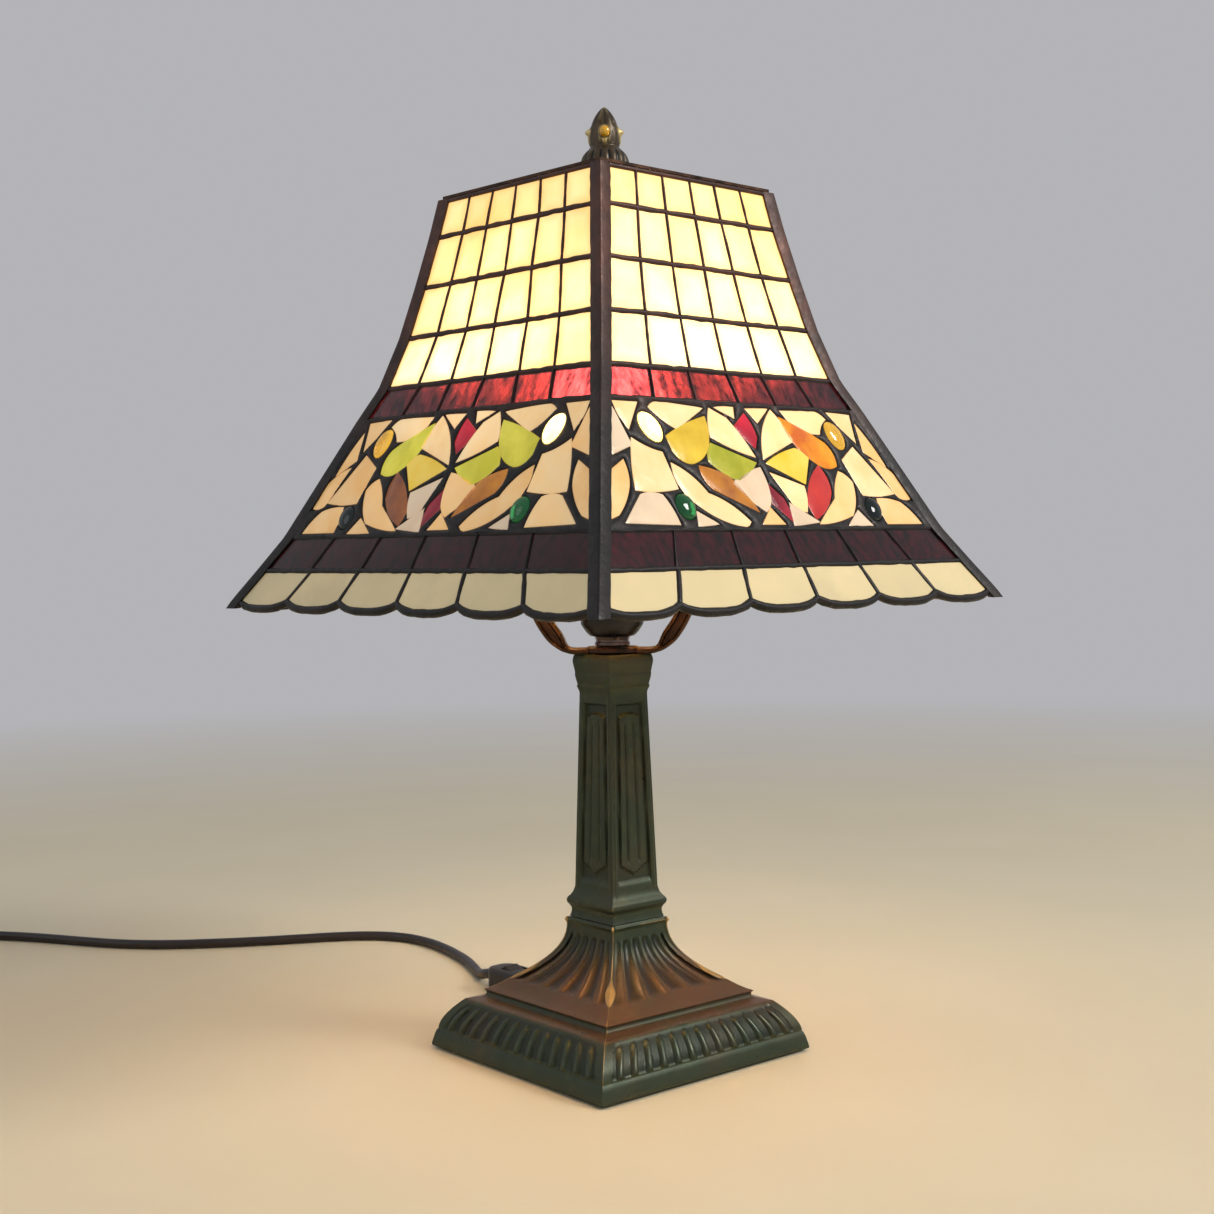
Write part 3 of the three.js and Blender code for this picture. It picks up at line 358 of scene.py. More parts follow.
# ---------------------------------------------------------------- mesh helpers
class Shape:
    """Points in millimetres with faces, and named values for each point."""

    def __init__(self):
        self.points = []
        self.faces = []
        self.values = {}

    def add(self, points, faces, **values):
        first = len(self.points)
        self.points.extend(tuple(float(x) for x in p) for p in points)
        self.faces.extend(tuple(first + i for i in face) for face in faces)
        for name, value in values.items():
            column = self.values.setdefault(name, [])
            many = isinstance(value, (list, np.ndarray))
            column.extend(value if many else [value] * len(points))

    def add_glass(self, rings, tints, rim):
        """Adds a piece of glass that drifts between two tints."""
        points, faces = join_rings(rings)
        first, second = ([tint] * len(points) for tint in tints)
        self.add(points, faces, tint=first, tint2=second, rim=rim)

    def turned(self, angle):
        """Turns every point about the lamp's axis."""
        c, s = math.cos(angle), math.sin(angle)
        self.points = [(c * x - s * y, s * x + c * y, z) for x, y, z in self.points]
        return self


def make(name, shape, material, body, nodes=(), sharp=35):
    """Makes the Blender object, rides it on its body and hides the CAD parts it stands for."""
    mesh = bpy.data.meshes.new(name)
    mesh.from_pydata([tuple(x * MM for x in p) for p in shape.points], [], shape.faces)
    for key, column in shape.values.items():
        if np.ndim(column[0]):
            values = mesh.attributes.new(key, "FLOAT_COLOR", "POINT")
            values.data.foreach_set("color", np.array(column, np.float32).ravel())
        else:
            values = mesh.attributes.new(key, "FLOAT", "POINT")
            values.data.foreach_set("value", np.array(column, np.float32))
    work = bmesh.new()
    work.from_mesh(mesh)
    bmesh.ops.recalc_face_normals(work, faces=work.faces)
    work.to_mesh(mesh)
    work.free()
    mesh.shade_smooth()
    mesh.set_sharp_from_angle(angle=math.radians(sharp))
    mesh.materials.append(material)
    piece = bpy.data.objects.new(name, mesh)
    bpy.context.scene.collection.objects.link(piece)
    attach(piece, body)
    if nodes:
        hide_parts(*nodes)
    return piece


def join_rings(rings, closed=False, capped=True):
    """Faces of a body whose rings all have the same number of points."""
    count = len(rings[0])
    points = [tuple(p) for ring in rings for p in ring]
    faces = []
    spans = len(rings) if closed else len(rings) - 1
    for level in range(spans):
        low = level * count
        high = ((level + 1) % len(rings)) * count
        for i in range(count):
            j = (i + 1) % count
            faces.append((low + i, low + j, high + j, high + i))
    if capped and not closed:
        faces.append(tuple(reversed(range(count))))
        last = (len(rings) - 1) * count
        faces.append(tuple(range(last, last + count)))
    return points, faces


AXIS_RADIUS = 0.01  # radius of a ring that closes a turned body on its axis


def lathe(profile, sides=64, wobble=None):
    """A profile of (radius, height) pairs turned about Z. `wobble` gives the amount by which each
    point moves outwards, from its angle and height."""
    angles = np.linspace(0, 2 * math.pi, sides, endpoint=False)
    rings = []
    for radius, height in profile:
        radii = np.full(sides, max(radius, AXIS_RADIUS))
        if wobble:
            radii = radii + wobble(angles, height)
        ring = np.stack([radii * np.cos(angles), radii * np.sin(angles), np.full(sides, height)], 1)
        rings.append(ring)
    return rings


def curve_through(points, steps):
    """A smooth line through points, with `steps` stretches between each two (Catmull-Rom)."""
    points = np.array(points, float)
    padded = np.vstack([2 * points[0] - points[1], points, 2 * points[-1] - points[-2]])
    line = []
    for i in range(1, len(padded) - 2):
        a, b, c, d = padded[i - 1 : i + 3]
        for step in range(steps):
            t = step / steps
            line.append(
                0.5 * (2 * b + (c - a) * t + (2 * a - 5 * b + 4 * c - d) * t**2)
                + 0.5 * (3 * b - a - 3 * c + d) * t**3
            )
    line.append(points[-1])
    return np.array(line)


def unit(vector):
    return vector / (np.linalg.norm(vector) + 1e-12)


def smooth(value, low, high):
    """Rises gently from 0 at `low` to 1 at `high`."""
    t = np.clip((value - low) / (high - low), 0, 1)
    return t * t * (3 - 2 * t)


def hump(value, middle, width):
    """1 at `middle`, falling away to both sides within about `width`."""
    return np.exp(-(((value - middle) / width) ** 2))


def blunt(value, power):
    """A sine or cosine raised to a power with its sign kept, which squares off a circle."""
    return math.copysign(abs(value) ** power, value)


BEAD_SIDES = 10
BEAD_END = [(0.62, 0.5), (0.35, 0.86)]  # how far past its last point a bead's end goes, and its size


def bead(shape, path, width, height, out, uneven=0.1):
    """A rounded bar of solder along a path. `out` is the direction of its height."""
    path = [np.array(p, float) for p in path]
    first = unit(path[0] - path[1]) * width / 2
    last = unit(path[-1] - path[-2]) * width / 2
    line = [(path[0] + first * reach, size) for reach, size in BEAD_END]
    line += [(p, 1 + chance.uniform(-uneven, uneven)) for p in path]
    line += [(path[-1] + last * reach, size) for reach, size in reversed(BEAD_END)]
    rings = []
    for i, (point, size) in enumerate(line):
        along = unit(line[min(i + 1, len(line) - 1)][0] - line[max(i - 1, 0)][0])
        across = unit(np.cross(out, along)) * width / 2 * size
        rise = out * height / 2 * min(size, 1)
        angles = np.linspace(0, 2 * math.pi, BEAD_SIDES, endpoint=False)
        rings.append([point + across * math.cos(a) + rise * math.sin(a) for a in angles])
    shape.add(*join_rings(rings))


# ---------------------------------------------------------------- the lead
CORD_RADIUS = 3.2
EXIT = (30.0, 98.3, 8.0)
LEAD_HEADING = math.radians(139.7)  # compass direction of the lead where it meets the coil
COIL_CENTRE = (-223.4, 528.0)
COIL_OUTER_TURN = 42.0
COIL_TURN_PITCH = 6.6
COIL_LAYERS = (3.2, 9.8)  # heights of the two layers of turns
COIL_POINTS = 18  # points for each turn
COIL_TURNS = 5.25
COIL_APPROACH = (-42, -22)  # points before the coil, as distances ahead along the lead's heading

# Laid along the table, from the strain relief through the switch to the coil.
LEAD_ROUTE = [
    (30, 98.3, 8),
    (30, 112, 8),
    (30, 133, 8),
    (30, 149, 8),
    (30, 158.5, 8),
    (30.2, 163, 7.7),
    (30.9, 168, 6.6),
    (33.4, 176, 4.5),
    (37.2, 185, 3.3),
    (42.5, 197, 3.2),
    (49.5, 214, 3.2),
    (55.6, 235, 3.2),
    (60.4, 258, 3.2),
    (62.4, 282, 3.2),
    (58.6, 305, 3.2),
    (46.6, 324.5, 3.2),
    (27.5, 340, 3.2),
    (3.7, 353.6, 3.2),
    (-23, 368.5, 3.2),
    (-50, 386, 3.2),
    (-75.7, 405.5, 3.2),
    (-97.5, 429, 3.2),
    (-114.8, 457, 3.2),
    (-130.5, 485.5, 3.2),
    (-147, 511.5, 3.2),
]


def beside_coil(ahead, right, height):
    """A point by the coil: ahead along the lead's heading, and out to its right."""
    c, s = math.cos(LEAD_HEADING), math.sin(LEAD_HEADING)
    return (
        COIL_CENTRE[0] + c * ahead + s * right,
        COIL_CENTRE[1] + s * ahead - c * right,
        height,
    )


def coil_turns():
    """Two turns inwards on the table, one turn climbing, then two and a quarter outwards."""
    inner = COIL_OUTER_TURN - 2 * COIL_TURN_PITCH
    low, high = COIL_LAYERS
    line = []
    for i in range(round(COIL_TURNS * COIL_POINTS) + 1):
        turns = i / COIL_POINTS
        if turns <= 2:
            radius, height = COIL_OUTER_TURN - COIL_TURN_PITCH * turns, low
        elif turns <= 3:
            radius, height = inner, low + (high - low) * float(smooth(turns, 2, 3))
        else:
            radius = min(inner + COIL_TURN_PITCH * (turns - 3), COIL_OUTER_TURN)
            height = high
        angle = LEAD_HEADING - math.pi / 2 + 2 * math.pi * turns
        x = COIL_CENTRE[0] + radius * math.cos(angle)
        y = COIL_CENTRE[1] + radius * math.sin(angle)
        line.append((x, y, height))
    return line


TAIL = [(14, 9.6), (26, 8.9), (38, 8.5), (50, 8.5), (62, 8.5)]  # distance from the coil, height


def lead_line():
    approach = [beside_coil(ahead, COIL_OUTER_TURN, CORD_RADIUS) for ahead in COIL_APPROACH]
    tail = [beside_coil(COIL_OUTER_TURN, -distance, height) for distance, height in TAIL]
    return LEAD_ROUTE + approach + coil_turns() + tail


def add_lead():
    line = lead_line()
    curve = bpy.data.curves.new("power_lead", "CURVE")
    curve.dimensions = "3D"
    curve.bevel_depth = CORD_RADIUS * MM
    curve.bevel_resolution = 5
    curve.resolution_u = 8
    curve.use_fill_caps = True
    spline = curve.splines.new("BEZIER")
    spline.bezier_points.add(len(line) - 1)
    for point, place in zip(spline.bezier_points, line):
        point.co = Vector(place) * MM
        point.handle_left_type = "AUTO"
        point.handle_right_type = "AUTO"
    curve.materials.append(lead_sheath)
    lead_piece = bpy.data.objects.new("power_lead", curve)
    bpy.context.scene.collection.objects.link(lead_piece)
    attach(lead_piece, "root")
    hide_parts("lead_foot_to_switch", "lead_to_coil", "lead_coil", "lead_tail")
    return lead_piece


power_lead = add_lead()

# ---------------------------------------------------------------- shade: rows and panes
SHADE_TURN = math.radians(3.1)
SHADE_TOP = cad_high("top_rim")
SHADE_TOP_HALF = 64.5
# Each row of a side from the top down: its name, its height and how far it spreads.
ROWS = [
    ("cream_1", 21, 4),
    ("cream_2", 27.5, 6),
    ("cream_3", 27.5, 6.5),
    ("cream_4", 27.5, 8.5),
    ("ruby", 17, 8.5),
    ("floral", 64, 30),
    ("garnet", 18, 11),
    ("border", 21.5, 13.5),
]
TILES = 6
SCALLOP_DEPTH = 4.6
SCALLOP_LIFT = 1.9  # lowest point of the glass above the foot of the shade
SCALLOP_POWER = 3.0  # above 2 the scallops are flat in the middle and steep at their cusps
CAME_LEG = 6.5  # from a corner of the shade to the first glass
CAME_WIDTH = 7.5  # of the corner lead on each side, lapping over the glass
PANE_DEPTH = 1.1  # from the outer face of the lead in to the glass
PANE_THICKNESS = 2.4
LEAD_HEIGHT = 4.4  # thickness of a line of lead, through the shade
LEAD_MIDDLE = PANE_DEPTH + PANE_THICKNESS / 2
GROUND_EDGE = 0.3  # width of the ground edge of a pane
PANE_CROWN = 0.12  # how far the middle of a pane stands out past its edge
TILE_GAP = 0.4  # from the middle of an upright line to the glass
ROW_GAP = 0.7  # from the fold between two rows to the glass
LINE_WIDTH = 3.6
EDGE_WIDTH = 4.2
UPRIGHT_WIDTH = {"cream": 2.4, "ruby": 1.7, "garnet": 1.6, "border": 3.6}
EDGE_SHADE_WIDTH = {"cream": 6.0, "ruby": 2.0, "garnet": 2.0, "border": 2.8}  # width of the painted shade along the edge of a pane

lines = [(SHADE_TOP, SHADE_TOP_HALF)]  # height and half side of each line between rows
for _, rise, spread in ROWS:
    lines.append((lines[-1][0] - rise, lines[-1][1] + spread))


def side_turn(side):
    """How far a side is turned about the lamp's axis from one that faces straight ahead."""
    return SHADE_TURN + SIDES.index(side) * math.pi / 2


class Row:
    """One row of the front side laid flat: u across the side, v up its slope."""

    def __init__(self, index):
        self.top_z, self.top_half = lines[index]
        self.low_z, self.low_half = lines[index + 1]
        lean = self.low_half - self.top_half
        rise = self.top_z - self.low_z
        self.slope = math.hypot(lean, rise)
        self.up = np.array([0, lean / self.slope, rise / self.slope])
        self.out = np.cross([1.0, 0, 0], self.up)

    def place(self, u, v, depth):
        """A point of the row, `depth` in from its outer face, on the front side of the shade."""
        base = np.array([u, -self.low_half, self.low_z])
        return base + self.up * v - self.out * depth

    def edge(self, v):
        """Distance from the middle of the side to the end of its glass."""
        half = self.low_half + (self.top_half - self.low_half) * v / self.slope
        return half - CAME_LEG


def inset(outline, distance):
    """Moves every edge of a closed outline inwards; outlines run anticlockwise."""
    count = len(outline)
    moved = []
    for i in range(count):
        before, here, after = (np.array(outline[(i + k) % count], float) for k in (-1, 0, 1))
        first, second = unit(here - before), unit(after - here)
        normal = unit(np.array([-first[1] - second[1], first[0] + second[0]]))
        facing = max(0.45, float(np.dot(normal, [-first[1], first[0]])))
        moved.append(tuple(here + normal * distance / facing))
    return moved


def anticlockwise(outline):
    """The outline, turned round where it runs clockwise."""
    area = sum(a[0] * b[1] - b[0] * a[1] for a, b in zip(outline, outline[1:] + outline[:1]))
    return outline if area > 0 else outline[::-1]


def pane(shape, row, outline, tints, rim_width):
    """One cut piece of glass with ground edges, from its outline in the row's flat frame."""
    outline = anticlockwise([tuple(p) for p in outline])
    # Each level from the back to the front: how far in from the outline, depth, share of painted edge
    # shade.
    levels = [
        (GROUND_EDGE, PANE_THICKNESS, 1.0),
        (0.0, PANE_THICKNESS - GROUND_EDGE, 1.0),
        (0.0, GROUND_EDGE, 1.0),
        (GROUND_EDGE, 0.0, 1.0),
        (rim_width, -PANE_CROWN, 0.0),
    ]
    rings = []
    rim = []
    for distance, depth, share in levels:
        rings.append([row.place(u, v, PANE_DEPTH + depth) for u, v in inset(outline, distance)])
        rim += [share] * len(outline)
    shape.add_glass(rings, tints, rim)


WARMER = 0.35  # how much a colour varies in warmth, as a share of how much in brightness


def vary(colour, amount):
    """A colour a little lighter or darker, and a little warmer or cooler."""
    light = 1 + chance.uniform(-amount, amount)
    warm = chance.uniform(-amount, amount) * WARMER
    red, green, blue, _ = colour
    return (red * light * (1 + warm), green * light, blue * light * (1 - warm), 1.0)


def straight(start, end, step=4.0):
    """Points from start to end, both included."""
    start, end = np.array(start, float), np.array(end, float)
    count = max(2, int(np.linalg.norm(end - start) / step) + 1)
    return [tuple(start + (end - start) * i / (count - 1)) for i in range(count)]


def arc(start, end, bulge, step=2.0):
    """Points from start to end, swelling to the right of the way by `bulge`; end left out."""
    start, end = np.array(start, float), np.array(end, float)
    length = np.linalg.norm(end - start)
    count = max(1, int(length / step))
    across = np.array([end[1] - start[1], start[0] - end[0]]) / length
    shares = [i / count for i in range(count)]
    return [tuple(start + (end - start) * s + across * bulge * 4 * s * (1 - s)) for s in shares]


# The two tints of the glass of each row.
SHADE_TINTS = {
    "cream_1": (srgb(255, 214, 132), srgb(255, 227, 160)),
    "cream_2": (srgb(255, 218, 138), srgb(255, 230, 166)),
    "cream_3": (srgb(255, 222, 146), srgb(255, 234, 176)),
    "cream_4": (srgb(255, 225, 152), srgb(255, 237, 186)),
    "ruby": (srgb(152, 50, 62), srgb(20, 3, 7)),
    "garnet": (srgb(64, 12, 20), srgb(20, 7, 9)),
    "border": (srgb(216, 198, 152), srgb(226, 206, 158)),
}
TILE_VARIETY = 0.07  # how much the tiles of a row vary in brightness
PIECE_VARIETY = 0.06  # the same for the pieces of the flower pattern
SCALLOP_POINTS = 13


def scallop(left, right, raised):
    """Lower edge of one border tile, from left to right."""
    line = []
    for i in range(SCALLOP_POINTS):
        s = i / (SCALLOP_POINTS - 1)
        rise = abs(2 * s - 1) ** SCALLOP_POWER
        line.append((left + (right - left) * s, raised + SCALLOP_DEPTH * rise))
    return line


def upright_places(row, at_top):
    """Where the upright lines of a row meet one of its long edges, evenly spaced."""
    edge = row.edge(row.slope if at_top else 0.0)
    return [edge * (2 * i / TILES - 1) for i in range(TILES + 1)]


def tiled_rows(side, kind, indices, material, cad_node, uneven):
    """The tiles of neighbouring rows of one side, and the places of their upright lines."""
    glass = Shape()
    uprights = []
    jitter = {}
    for index in indices:
        row = Row(index)
        ends = []
        for at_top in (False, True):
            line = index if at_top else index + 1
            if line not in jitter:
                jitter[line] = [chance.uniform(-uneven, uneven) for _ in range(TILES - 1)]
            places = upright_places(row, at_top)
            for i, shift in enumerate(jitter[line]):
                places[i + 1] += shift
            ends.append(places)
        low, high = ends
        top = row.slope - ROW_GAP
        for i in range(TILES):
            left, right = low[i] + TILE_GAP, low[i + 1] - TILE_GAP
            if kind == "border":
                outline = scallop(left, right, SCALLOP_LIFT)
            else:
                outline = [(left, ROW_GAP), (right, ROW_GAP)]
            outline += [(high[i + 1] - TILE_GAP, top), (high[i] + TILE_GAP, top)]
            tints = [vary(tint, TILE_VARIETY) for tint in SHADE_TINTS[ROWS[index][0]]]
            pane(glass, row, outline, tints, EDGE_SHADE_WIDTH[kind])
        uprights.append((row, low, high))
    glass.turned(side_turn(side))
    make(f"{kind}_tiles_{side}", glass, material, "shade", [f"{cad_node}_{side}"])
    return uprights


UPRIGHT_BOW = 0.3  # how far an upright line may bend to one side


def lead_for_tiles(shape, kind, uprights):
    """The upright lines of lead between the tiles of some rows."""
    for row, low, high in uprights:
        start = SCALLOP_DEPTH + SCALLOP_LIFT if kind == "border" else 0.0
        for i in range(1, TILES):
            line = straight((low[i], start), (high[i], row.slope))
            bow = chance.uniform(-UPRIGHT_BOW, UPRIGHT_BOW)
            path = []
            for k, (u, v) in enumerate(line):
                share = k / (len(line) - 1)
                path.append(row.place(u + bow * math.sin(math.pi * share), v, LEAD_MIDDLE))
            bead(shape, path, UPRIGHT_WIDTH[kind], LEAD_HEIGHT, row.out, 0.13)


# ---------------------------------------------------------------- shade: the floral row
CREAM = (srgb(250, 206, 142), srgb(255, 222, 168))
PEACH = (srgb(246, 192, 120), srgb(252, 208, 146))
SMOKE = (srgb(218, 192, 160), srgb(228, 204, 172))
MUSTARD = (srgb(196, 160, 34), srgb(222, 188, 58))
OLIVE = (srgb(150, 150, 30), srgb(188, 180, 58))
LIME = (srgb(196, 188, 46), srgb(224, 214, 70))
GOLD = (srgb(226, 188, 40), srgb(240, 206, 90))
ORANGE = (srgb(242, 162, 16), srgb(200, 96, 22))
TOFFEE = (srgb(198, 128, 34), srgb(150, 84, 34))
SCARLET = (srgb(196, 52, 42), srgb(176, 38, 38))
CRIMSON = (srgb(206, 22, 52), srgb(150, 12, 34))
WINE = (srgb(150, 22, 44), srgb(92, 10, 26))
BROWN = (srgb(150, 88, 42), srgb(110, 60, 34))

# Each piece of the flower pattern: its glass on one hand, its glass on the mirrored hand, and
# its corners (u, v, bulge of the edge that starts there), in millimetres from the row's middle.
FLORAL = [
    (CREAM, CREAM, [(-90, 68, 0), (-75, 68, 0), (-86, 54, 1)]),
    (SMOKE, PEACH, [(-92, 64, 0), (-88, 45, 0), (-102, 40, 1), (-99, 50, 0)]),
    (PEACH, PEACH, [(-97, 36, 1), (-99, 23, 1), (-112, 8, 0), (-118, 6, 1), (-106, 31, 0)]),
    (CREAM, CREAM, [(-67, 66, 1), (-58, 69, 0), (-30, 67, 0), (-53, 55, 1)]),
    (MUSTARD, LIME, [(-62, 50, 1), (-30, 62, 1), (-34, 47, 2), (-50, 36, 2), (-61, 42, 0)]),
    (CREAM, CREAM, [(-86, 48, -1), (-69, 41, 0), (-67, 22, 1), (-95, 21, 1)]),
    (SMOKE, CREAM, [(-93, 18, 1), (-79, 18, 1), (-74, 3, 0), (-108, 4, 0)]),
    (SMOKE, SMOKE, [(-59, 9, 0), (-48, 3, 0), (-61, 2, 0)]),
    (CREAM, PEACH, [(-65, 35, 2), (-47, 19, 2), (-24, 4, 1), (-30, 2, 3), (-62, 18, 2)]),
    (TOFFEE, TOFFEE, [(-46, 34, 1), (-27, 28, 1), (-15, 10, 0), (-42, 22, 2)]),
    (OLIVE, LIME, [(-32, 47, 0), (-4, 37, 1), (-21, 27, 1), (-38, 37, 1)]),
    (CREAM, CREAM, [(-24, 67, 0), (-14, 62, 1), (-3, 41, 1), (-30, 51, 1)]),
    (CREAM, CREAM, [(-19, 68, 0), (-6, 69, 0), (-8, 63, 0)]),
    (CRIMSON, CRIMSON, [(1, 65, 1), (4, 52, 0), (0, 46, 1), (-9, 58, 0)]),
    (CREAM, CREAM, [(4, 68, 0), (20, 69, 0), (9, 61, 0)]),
    (CREAM, CREAM, [(23, 68, 1), (32, 51, 0), (4, 40, 3)]),
    (ORANGE, LIME, [(28, 64, 1), (57, 50, 2), (60, 37, 1), (49, 36, 2), (31, 51, 1)]),
    (CREAM, CREAM, [(31, 68, 0), (57, 69, 1), (65, 65, -1), (56, 56, 1), (40, 59, 1)]),
    (CREAM, PEACH, [(69, 69, 0), (87, 68, 0), (84, 52, 0), (76, 60, 0)]),
    (PEACH, PEACH, [(90, 62, 1), (102, 38, 0), (88, 46, 0)]),
    (GOLD, GOLD, [(5, 37, 1), (31, 46, 1), (39, 41, 0), (29, 26, 0)]),
    (CREAM, SMOKE, [(5, 31, 0), (27, 24, 1), (22, 10, 1), (13, 15, 0)]),
    (SCARLET, BROWN, [(45, 36, 2), (47, 21, 2), (28, 6, 2), (27, 17, 2)]),
    (PEACH, PEACH, [(60, 33, 1), (68, 27, 2), (58, 8, 1), (30, 3, 0), (49, 17, 1)]),
    (CREAM, PEACH, [(80, 48, 0), (100, 21, 1), (73, 20, 0), (67, 40, 0)]),
    (PEACH, PEACH, [(91, 41, 1), (106, 33, 1), (113, 18, 1), (103, 19, 0)]),
    (SMOKE, PEACH, [(64, 10, 0), (71, 2, 0), (53, 2, 0)]),
    (PEACH, PEACH, [(84, 17, 1), (103, 15, 1), (114, 3, 0), (85, 3, 1)]),
    (SMOKE, PEACH, [(-2, 34, 1), (-2, 18, 1), (-9, 10, 1), (-26, 25, 1)]),
    (WINE, WINE, [(0, 24, 0), (7, 17, 1), (8, 5, 0), (-2, 14, 0)]),
    (PEACH, PEACH, [(-5, 11, 0), (1, 3, 0), (-14, 3, 0)]),
    (SMOKE, SMOKE, [(11, 14, 0), (28, 4, 0), (9, 2, 0)]),
]
# The two amber jewel glasses are one amber glass: painted light, bright where the bulb shines through it
# and dark where it does not.
AMBER_LIT = (srgb(255, 232, 164), srgb(255, 220, 118))
HONEY = (srgb(232, 174, 38), srgb(218, 156, 26))
AMBER_UNLIT = (srgb(150, 118, 40), srgb(118, 92, 32))
EMERALD = (srgb(10, 66, 32), srgb(5, 44, 22))
BOTTLE = (srgb(6, 18, 15), srgb(4, 12, 11))
# Jewels: glass, middle (u, v), half widths along and across, lean in degrees, how proud they stand.
JEWELS = [
    (AMBER_LIT, (-71, 55), (8.4, 6.3), 118, 3.2),
    (AMBER_UNLIT, (68, 55), (8.6, 6.2), 112, 3.0),
    (EMERALD, (-66, 12), (6.8, 6.2), 100, 3.4),
    (BOTTLE, (77, 11), (6.8, 6.0), 80, 3.2),
]
BEZEL = 0.3  # how far a jewel runs out under the solder round it
JEWEL_BACK = 2.2  # how far a jewel stands out behind its widest part
JEWEL_SEAT = 0.5  # depth of a jewel's widest part behind the front of the glass
PIECE_GROWTH = 0.6  # how far the opening for a piece lies outside its corners
PIECE_LAP = 0.35  # how far the piece runs out under the solder round its opening
PIECE_EDGE_SHADE = 0.7  # width of the painted shade along the edge of a piece
SOLDER_LAP = 2.5  # how far the row's solder runs under the corner lead


def floral_outline(corners, hand):
    """Outline of a piece of the flower pattern; `hand` is -1 where the pattern is mirrored."""
    outline = []
    for i, (u, v, bulge) in enumerate(corners):
        next_u, next_v, _ = corners[(i + 1) % len(corners)]
        outline += arc((u, v), (next_u, next_v), -bulge)
    return anticlockwise([(u * hand, v) for u, v in outline])


def jewel_outline(jewel, hand, grow=0.0, count=26):
    _, (u, v), (long, short), lean, _ = jewel
    c, s = math.cos(math.radians(lean)), math.sin(math.radians(lean))
    outline = []
    for i in range(count):
        a = 2 * math.pi * i / count
        x, y = (long + grow) * math.cos(a), (short + grow) * math.sin(a)
        outline.append(((u + c * x - s * y) * hand, v + s * x + c * y))
    return anticlockwise(outline)


def cabochon(shape, row, jewel, hand):
    """A pressed glass jewel, domed in front and shallower behind."""
    tints, _, _, _, proud = jewel
    base = np.array(jewel_outline(jewel, hand, BEZEL))
    middle = base.mean(axis=0)
    rings = []
    for share in np.linspace(-1, 1, 15):
        size = math.sqrt(max(1 - share * share, 0.0025))
        depth = PANE_DEPTH + JEWEL_SEAT - share * (proud if share > 0 else JEWEL_BACK)
        rings.append([row.place(*(middle + (p - middle) * size), depth) for p in base])
    shape.add_glass(rings, tints, 0.0)


def inside(points, outline):
    """Which points lie in an outline (crossing count)."""
    x, y = points[:, 0], points[:, 1]
    found = np.zeros(len(points), bool)
    for (ax, ay), (bx, by) in zip(outline, outline[1:] + outline[:1]):
        crosses = (ay > y) != (by > y)
        found ^= crosses & (x < (bx - ax) * (y - ay) / (by - ay + 1e-12) + ax)
    return found


def distance_to(points, outlines):
    """Distance from each point to the nearest edge of the outlines."""
    starts = np.array([p for o in outlines for p in o])
    ends = np.array([p for o in outlines for p in o[1:] + o[:1]])
    spans = ends - starts
    lengths = np.maximum((spans**2).sum(1), 1e-9)
    best = np.full(len(points), 1e9)
    for first in range(0, len(points), 400):
        some = points[first : first + 400]
        away = some[:, None, :] - starts[None]
        share = np.clip((away * spans[None]).sum(2) / lengths, 0, 1)
        gap = away - share[:, :, None] * spans[None]
        best[first : first + 400] = np.sqrt((gap**2).sum(2)).min(1)
    return best


SOLDER_GRID = 1.7  # spacing of the points that shape the solder
SOLDER_HUG = 0.75  # distance from a piece of the first points round it
SOLDER_CLEAR = 0.55  # loose points keep this far from the edges
SOLDER_RISE = 1.25  # how far wide solder mounds up above the glass
SOLDER_SPREAD = 0.85  # distance from the glass over which it mounds up


def solder_field(shape, row, region, holes):
    """Solder run between the pieces: a plate with a hole for each piece, mounded where it is wide."""
    near = [p for hole in holes for p in inset(hole, -SOLDER_HUG)]
    columns = np.arange(-row.edge(0) - 3, row.edge(0) + 3, SOLDER_GRID)
    grid = [(u, v) for u in columns for v in np.arange(SOLDER_GRID, row.slope - 1, SOLDER_GRID)]
    loose = np.array(near + grid)
    loose = loose[inside(loose, region)]
    for hole in holes:
        loose = loose[~inside(loose, hole)]
    loose = loose[distance_to(loose, holes + [region]) > SOLDER_CLEAR]
    outlines = [region] + holes
    points = [p for outline in outlines for p in outline]
    edges = []
    first = 0
    for outline in outlines:
        count = len(outline)
        edges += [(first + i, first + (i + 1) % count) for i in range(count)]
        first += count
    flat = [Vector(p) for p in points] + [Vector(p) for p in loose]
    corners, _, triangles, _, _, _ = delaunay_2d_cdt(flat, edges, [], 0, 1e-5)
    corners = np.array([(p.x, p.y) for p in corners])
    middles = np.array([corners[list(t)].mean(axis=0) for t in triangles])
    keep = inside(middles, region)
    for hole in holes:
        keep &= ~inside(middles, hole)
    triangles = [tuple(t) for t, kept in zip(triangles, keep) if kept]
    height = SOLDER_RISE * (1 - np.exp(-distance_to(corners, holes) / SOLDER_SPREAD))
    used = sorted({i for t in triangles for i in t})
    index = {old: new for new, old in enumerate(used)}
    count = len(used)
    front = [row.place(*corners[i], PANE_DEPTH + 0.1 - height[i]) for i in used]
    back_depth = PANE_DEPTH + PANE_THICKNESS
    back = [row.place(*corners[i], back_depth + 0.5 * height[i]) for i in used]
    triangles = [tuple(index[i] for i in t) for t in triangles]
    faces = triangles + [tuple(i + count for i in reversed(t)) for t in triangles]
    ways = {way: True for a, b, c in triangles for way in ((a, b), (b, c), (c, a))}
    faces += [(b, a, a + count, b + count) for a, b in ways if (b, a) not in ways]
    shape.add(front + back, faces)


